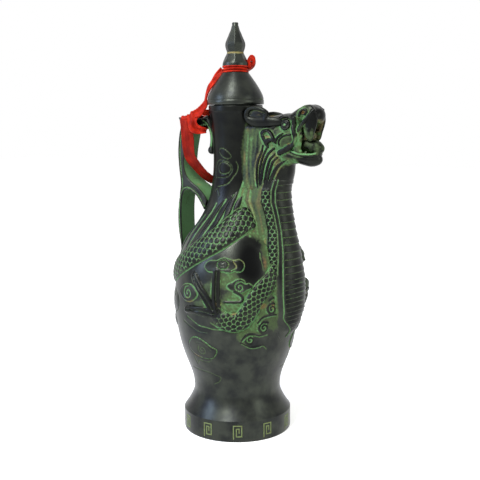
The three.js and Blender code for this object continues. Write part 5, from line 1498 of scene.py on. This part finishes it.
    # The tail hangs inside the strap and swings away behind the pot's neck; its dye is darkened with painted
    # shade, as it hangs out of the light.
    run = spline([(-36.0, -12.2, 230.6), (-35.4, -12.1, 226.2), (-35.0, -11.6, 221.6), (-34.6, -11.2, 216.0),
        (-34.4, -10.8, 209.6), (-33.4, -9.6, 203.2), (-30.6, -6.6, 197.0), (-27.8, -3.0, 191.6),
        (-25.0, 1.0, 187.6), (-22.6, 5.6, 184.6)], 1.0)
    share = np.linspace(0, 1, len(run))[:, None]
    lay("ribbon_tail_end", "ribbon_tail", "root", run, np.array([1.0, 0.12, 0.0]) * (1 - share)
        + np.array([0.80, -0.28, 0.62]) * share, np.interp(share[:, 0], [0, 0.3, 0.75, 1],
        [9.4, 10.0, 9.2, 7.6]), ((1.2, 0.7, 0.45, 1.0), (3.1, -0.9, 0.2, 0.3), (0, 1.0, 0.35, 0.2)), "hung",
        ["ribbon_turn_on_handle"], aged=0.6)


# The stage


def stage_material(name, colour, glow):
    """A pale matt sweep: paper-white to the eye, and it still takes the pot's shadow."""
    material, tree, output = new_material(name)
    rays = add_node(tree, "ShaderNodeLightPath")
    seen = add_node(tree, "ShaderNodeMath", {"operation": "MAXIMUM"}, in_0=rays.outputs["Is Camera Ray"],
        in_1=rays.outputs["Is Glossy Ray"]).outputs[0]
    strength = add_node(tree, "ShaderNodeMath", {"operation": "MULTIPLY", 1: glow}, in_0=seen).outputs[0]
    paper = add_node(tree, "ShaderNodeBsdfDiffuse", {"Color": linear(colour)})
    light = add_node(tree, "ShaderNodeEmission", Strength=strength)
    both = add_node(tree, "ShaderNodeAddShader", in_0=paper.outputs[0], in_1=light.outputs[0])
    tree.links.new(both.outputs[0], output.inputs[0])
    return material


def area_light(name, azimuth, height, distance, size, power, colour):
    """A softbox, placed by degrees left or right of the camera and aimed at the pot's middle."""
    turn = math.radians(-60 + azimuth)
    place = Vector((distance * math.cos(turn), distance * math.sin(turn), height)) * MM
    lamp = bpy.data.lights.new(name, "AREA")
    lamp.shape, lamp.size, lamp.size_y = "RECTANGLE", size[0] * MM, size[1] * MM
    lamp.energy, lamp.color = power, linear(colour)[:3]
    holder = bpy.data.objects.new(name, lamp)
    holder.location = place
    holder.rotation_euler = (Vector((0, 0, 150 * MM)) - place).to_track_quat("-Z", "Y").to_euler()
    bpy.context.scene.collection.objects.link(holder)


def photo_camera(lens):
    """The camera where the photograph was taken: 641 mm away, 236 mm up, tilted 8.35 degrees."""
    turn, tilt = math.radians(30), math.radians(8.35)
    yaw, roll = math.radians(0.235), math.radians(-0.31)
    across = Vector((math.cos(turn), math.sin(turn), 0))
    ahead = Vector((-math.sin(turn), math.cos(turn), 0))
    level = ahead * math.cos(yaw) + across * math.sin(yaw)
    right = across * math.cos(yaw) - ahead * math.sin(yaw)
    forward = level * math.cos(tilt) - Vector((0, 0, math.sin(tilt)))
    up = level * math.sin(tilt) + Vector((0, 0, math.cos(tilt)))
    right, up = (right * math.cos(roll) + up * math.sin(roll), up * math.cos(roll) - right * math.sin(roll))
    place = Vector((math.sin(turn) * 641, -math.cos(turn) * 641, 236)) * MM
    camera = bpy.data.cameras.new("photo_camera")
    camera.sensor_width, camera.lens, camera.clip_start = 36.0, lens, 0.01
    holder = bpy.data.objects.new("photo_camera", camera)
    basis = Matrix((right, up, -forward)).transposed().to_4x4()
    holder.matrix_world = Matrix.Translation(place) @ basis
    bpy.context.scene.collection.objects.link(holder)
    bpy.context.scene.camera = holder
    return holder


def build_stage(settings):
    scene = bpy.context.scene
    scene.view_settings.view_transform = "Standard"
    photo_camera(settings.lens)
    reach = 3000
    floor = new_piece("floor", [(-reach, -reach, 0), (reach, -reach, 0), (reach, reach, 0),
        (-reach, reach, 0)], [(0, 1, 2, 3)], stage_material("matt_paper_sweep", "#e6e6e4", settings.glow))
    scene.world = bpy.data.worlds.new("studio")
    scene.world.use_nodes = True
    tree = scene.world.node_tree
    tree.nodes.clear()
    output = tree.nodes.new("ShaderNodeOutputWorld")
    rays = add_node(tree, "ShaderNodeLightPath").outputs
    seen = add_node(tree, "ShaderNodeMath", {"operation": "MAXIMUM"}, in_0=rays["Is Camera Ray"],
        in_1=rays["Is Transmission Ray"]).outputs[0]
    shown = add_node(tree, "ShaderNodeMath", {"operation": "MAXIMUM"}, in_0=seen,
        in_1=rays["Is Glossy Ray"]).outputs[0]
    strength = add_node(tree, "ShaderNodeMapRange", {3: settings.ambient, 4: 1.0}, in_0=shown).outputs[0]
    glow = add_node(tree, "ShaderNodeBackground", {"Color": (1, 1, 1, 1)}, Strength=strength)
    tree.links.new(glow.outputs[0], output.inputs[0])
    for softbox in (("key_softbox", -27, 880, 580, (200, 620), settings.key, "#ffffff"),
            ("cool_softbox", -72, 420, 700, (160, 420), settings.cool, "#b9ccff"),
            ("right_fill", 56, 380, 760, (240, 420), settings.fill, "#f3f7ee")):
        area_light(*softbox)


# The add-on


def colour_property(name, description, default):
    return bpy.props.StringProperty(name=name, description=description, default=default)


def length_property(name, description, default, **limits):
    """A length that is given in millimetres and shown in the scene's unit."""
    return bpy.props.FloatProperty(name=name, description=description, default=default * MM, precision=5,
        subtype="DISTANCE", unit="LENGTH", **limits)


def amount_property(name, description, default, **kind):
    return bpy.props.FloatProperty(name=name, description=description, default=default, **kind)


class WinePotBronze(bpy.types.PropertyGroup):
    dark: colour_property("Dark bronze", "Pickled skin in the hollows of the cast face, sRGB hex", "#222423")
    worn: colour_property("Worn bronze", "Rubbed skin on the high places, sRGB hex", "#353832")
    pale: colour_property("Pale verdigris", "Chalky copper salts in the lines, sRGB hex", "#54814f")
    deep: colour_property("Deep verdigris", "Older copper salts on the ground, sRGB hex", "#3e5327")
    columns: bpy.props.IntProperty(name="Columns", description="Columns of faces round the vessel",
        default=600, min=60)
    frets: bpy.props.IntProperty(name="Frets", description="Square frets round the foot", default=11, min=1)
    step: length_property("Wax step", "Side of a cell when the head is cast", 0.33, min=0.2 * MM)
    handle_width: length_property("Handle width", "How wide the strap is", 20)


class WinePotRibbon(bpy.types.PropertyGroup):
    colour: colour_property("Ribbon", "Satin in plain light, sRGB hex", "#a3200e")
    shade: colour_property("Ribbon shade", "Satin in its folds, sRGB hex", "#7c1508")
    bright: colour_property("Ribbon bright", "Satin where it catches light, sRGB hex", "#c4321b")
    width: length_property("Ribbon width", "Width of the flat ribbon", 12)
    thick: length_property("Ribbon thickness", "Thickness of the satin", 0.3)


class WinePotStage(bpy.types.PropertyGroup):
    lens: amount_property("Lens", "Focal length on a 36 mm sensor", 65.4, unit="CAMERA")
    key: amount_property("Key light", "Power of the white overhead softbox", 11.0, unit="POWER")
    cool: amount_property("Cool light", "Power of the bluish softbox on the left", 3.2, unit="POWER")
    fill: amount_property("Warm light", "Power of the weak warm softbox on the right", 1.6, unit="POWER")
    ambient: amount_property("Ambient", "Even light from all round on matt surfaces", 0.5, min=0)
    glow: amount_property("Sweep glow", "How far the sweep is lifted towards white for the camera", 0.62,
        min=0)


MATERIALS = {}


def bronze_finish(scene, key="cast"):
    """The pot's bronze in one of its finishes, made once."""
    if key not in MATERIALS:
        look = scene.wine_pot_bronze
        name, grain = ("turned_dark_bronze", 0.35) if key == "lid" else ("cast_patinated_bronze", 0.5)
        MATERIALS[key] = patinated_bronze(name, look.dark, look.worn, look.pale, look.deep, grain)
    return MATERIALS[key]


class Maker:
    """What the operators share: each makes its pieces from the settings of the scene."""

    def execute(self, context):
        self.make(context.scene)
        return {"FINISHED"}


class WINEPOT_OT_stage(Maker, bpy.types.Operator):
    """Sets up the sweep, the softboxes and the camera"""
    bl_idname, bl_label = "wine_pot.stage", "Stage"

    def make(self, scene):
        build_stage(scene.wine_pot_stage)


class WINEPOT_OT_vessel(Maker, bpy.types.Operator):
    """Casts the vessel with its coiled body, clouds and engraved lines"""
    bl_idname, bl_label = "wine_pot.vessel", "Vessel"

    def make(self, scene):
        build_vessel(scene.wine_pot_bronze.columns, bronze_finish(scene))


class WINEPOT_OT_frets(Maker, bpy.types.Operator):
    """Sets the square frets round the foot"""
    bl_idname, bl_label = "wine_pot.frets", "Foot frets"

    def make(self, scene):
        build_frets(bronze_finish(scene), scene.wine_pot_bronze.frets)


class WINEPOT_OT_base_plate(Maker, bpy.types.Operator):
    """Gives the plate under the foot its cast bronze"""
    bl_idname, bl_label = "wine_pot.base_plate", "Base plate"

    def make(self, scene):
        plate = bpy.data.objects.get("base_plate")
        if plate is None:
            raise RuntimeError("the frame has no base_plate")
        plate.data.materials.clear()
        plate.data.materials.append(bronze_finish(scene))


class WINEPOT_OT_spout_neck(Maker, bpy.types.Operator):
    """Casts the spout's plated neck, its borders, scales and web"""
    bl_idname, bl_label = "wine_pot.spout_neck", "Spout neck"

    def make(self, scene):
        build_spout_neck(bronze_finish(scene), 280, 221)


class WINEPOT_OT_head(Maker, bpy.types.Operator):
    """Models the dragon's head in wax and casts it"""
    bl_idname, bl_label = "wine_pot.head", "Dragon head"

    def make(self, scene):
        build_head(bronze_finish(scene), scene.wine_pot_bronze.step / MM)


class WINEPOT_OT_horns(Maker, bpy.types.Operator):
    """Casts the two curled horns"""
    bl_idname, bl_label = "wine_pot.horns", "Horns"

    def make(self, scene):
        build_horns(bronze_finish(scene), scene.wine_pot_bronze.step / MM)


class WINEPOT_OT_handle(Maker, bpy.types.Operator):
    """Casts the strap handle and the leaf at its top"""
    bl_idname, bl_label = "wine_pot.handle", "Handle"

    def make(self, scene):
        build_handle(bronze_finish(scene), 0.4, scene.wine_pot_bronze.handle_width / MM / 2)
        build_handle_leaf(bronze_finish(scene), 0.33)


class WINEPOT_OT_lid(Maker, bpy.types.Operator):
    """Turns the lid's dome and plug and cuts the finial's facets"""
    bl_idname, bl_label = "wine_pot.lid", "Lid"

    def make(self, scene):
        build_lid(bronze_finish(scene, "lid"))


class WINEPOT_OT_ribbon(Maker, bpy.types.Operator):
    """Ties the red satin ribbon from the finial to the handle"""
    bl_idname, bl_label = "wine_pot.ribbon", "Ribbon"

    def make(self, scene):
        look = scene.wine_pot_ribbon
        material = satin("red_polyester_satin", look.colour, look.shade, look.bright)
        build_ribbons(material, look.width / MM, look.thick / MM)


OPERATORS = (WINEPOT_OT_stage, WINEPOT_OT_vessel, WINEPOT_OT_frets, WINEPOT_OT_base_plate,
    WINEPOT_OT_spout_neck, WINEPOT_OT_head, WINEPOT_OT_horns, WINEPOT_OT_handle, WINEPOT_OT_lid,
    WINEPOT_OT_ribbon)
GROUPS = {"wine_pot_bronze": WinePotBronze, "wine_pot_ribbon": WinePotRibbon, "wine_pot_stage": WinePotStage}


class WINEPOT_PT_panel(bpy.types.Panel):
    """Lists the pot's pieces in the order in which they are made"""
    bl_idname, bl_label = "WINEPOT_PT_panel", "Wine Pot"
    bl_space_type, bl_region_type, bl_category = "VIEW_3D", "UI", "Wine Pot"

    def draw(self, context):
        for group in GROUPS:
            box = self.layout.box()
            settings = getattr(context.scene, group)
            for name in settings.bl_rna.properties.keys():
                if name not in ("rna_type", "name"):
                    box.prop(settings, name)
        for operator in OPERATORS:
            self.layout.operator(operator.bl_idname)


CLASSES = (*GROUPS.values(), *OPERATORS, WINEPOT_PT_panel)


def register():
    for item in CLASSES:
        bpy.utils.register_class(item)
    for name, group in GROUPS.items():
        setattr(bpy.types.Scene, name, bpy.props.PointerProperty(type=group))


def unregister():
    for name in GROUPS:
        delattr(bpy.types.Scene, name)
    for item in reversed(CLASSES):
        bpy.utils.unregister_class(item)


def main():
    register()
    for operator in OPERATORS:
        group, name = operator.bl_idname.split(".")
        getattr(getattr(bpy.ops, group), name)()


if __name__ == "__main__":
    main()
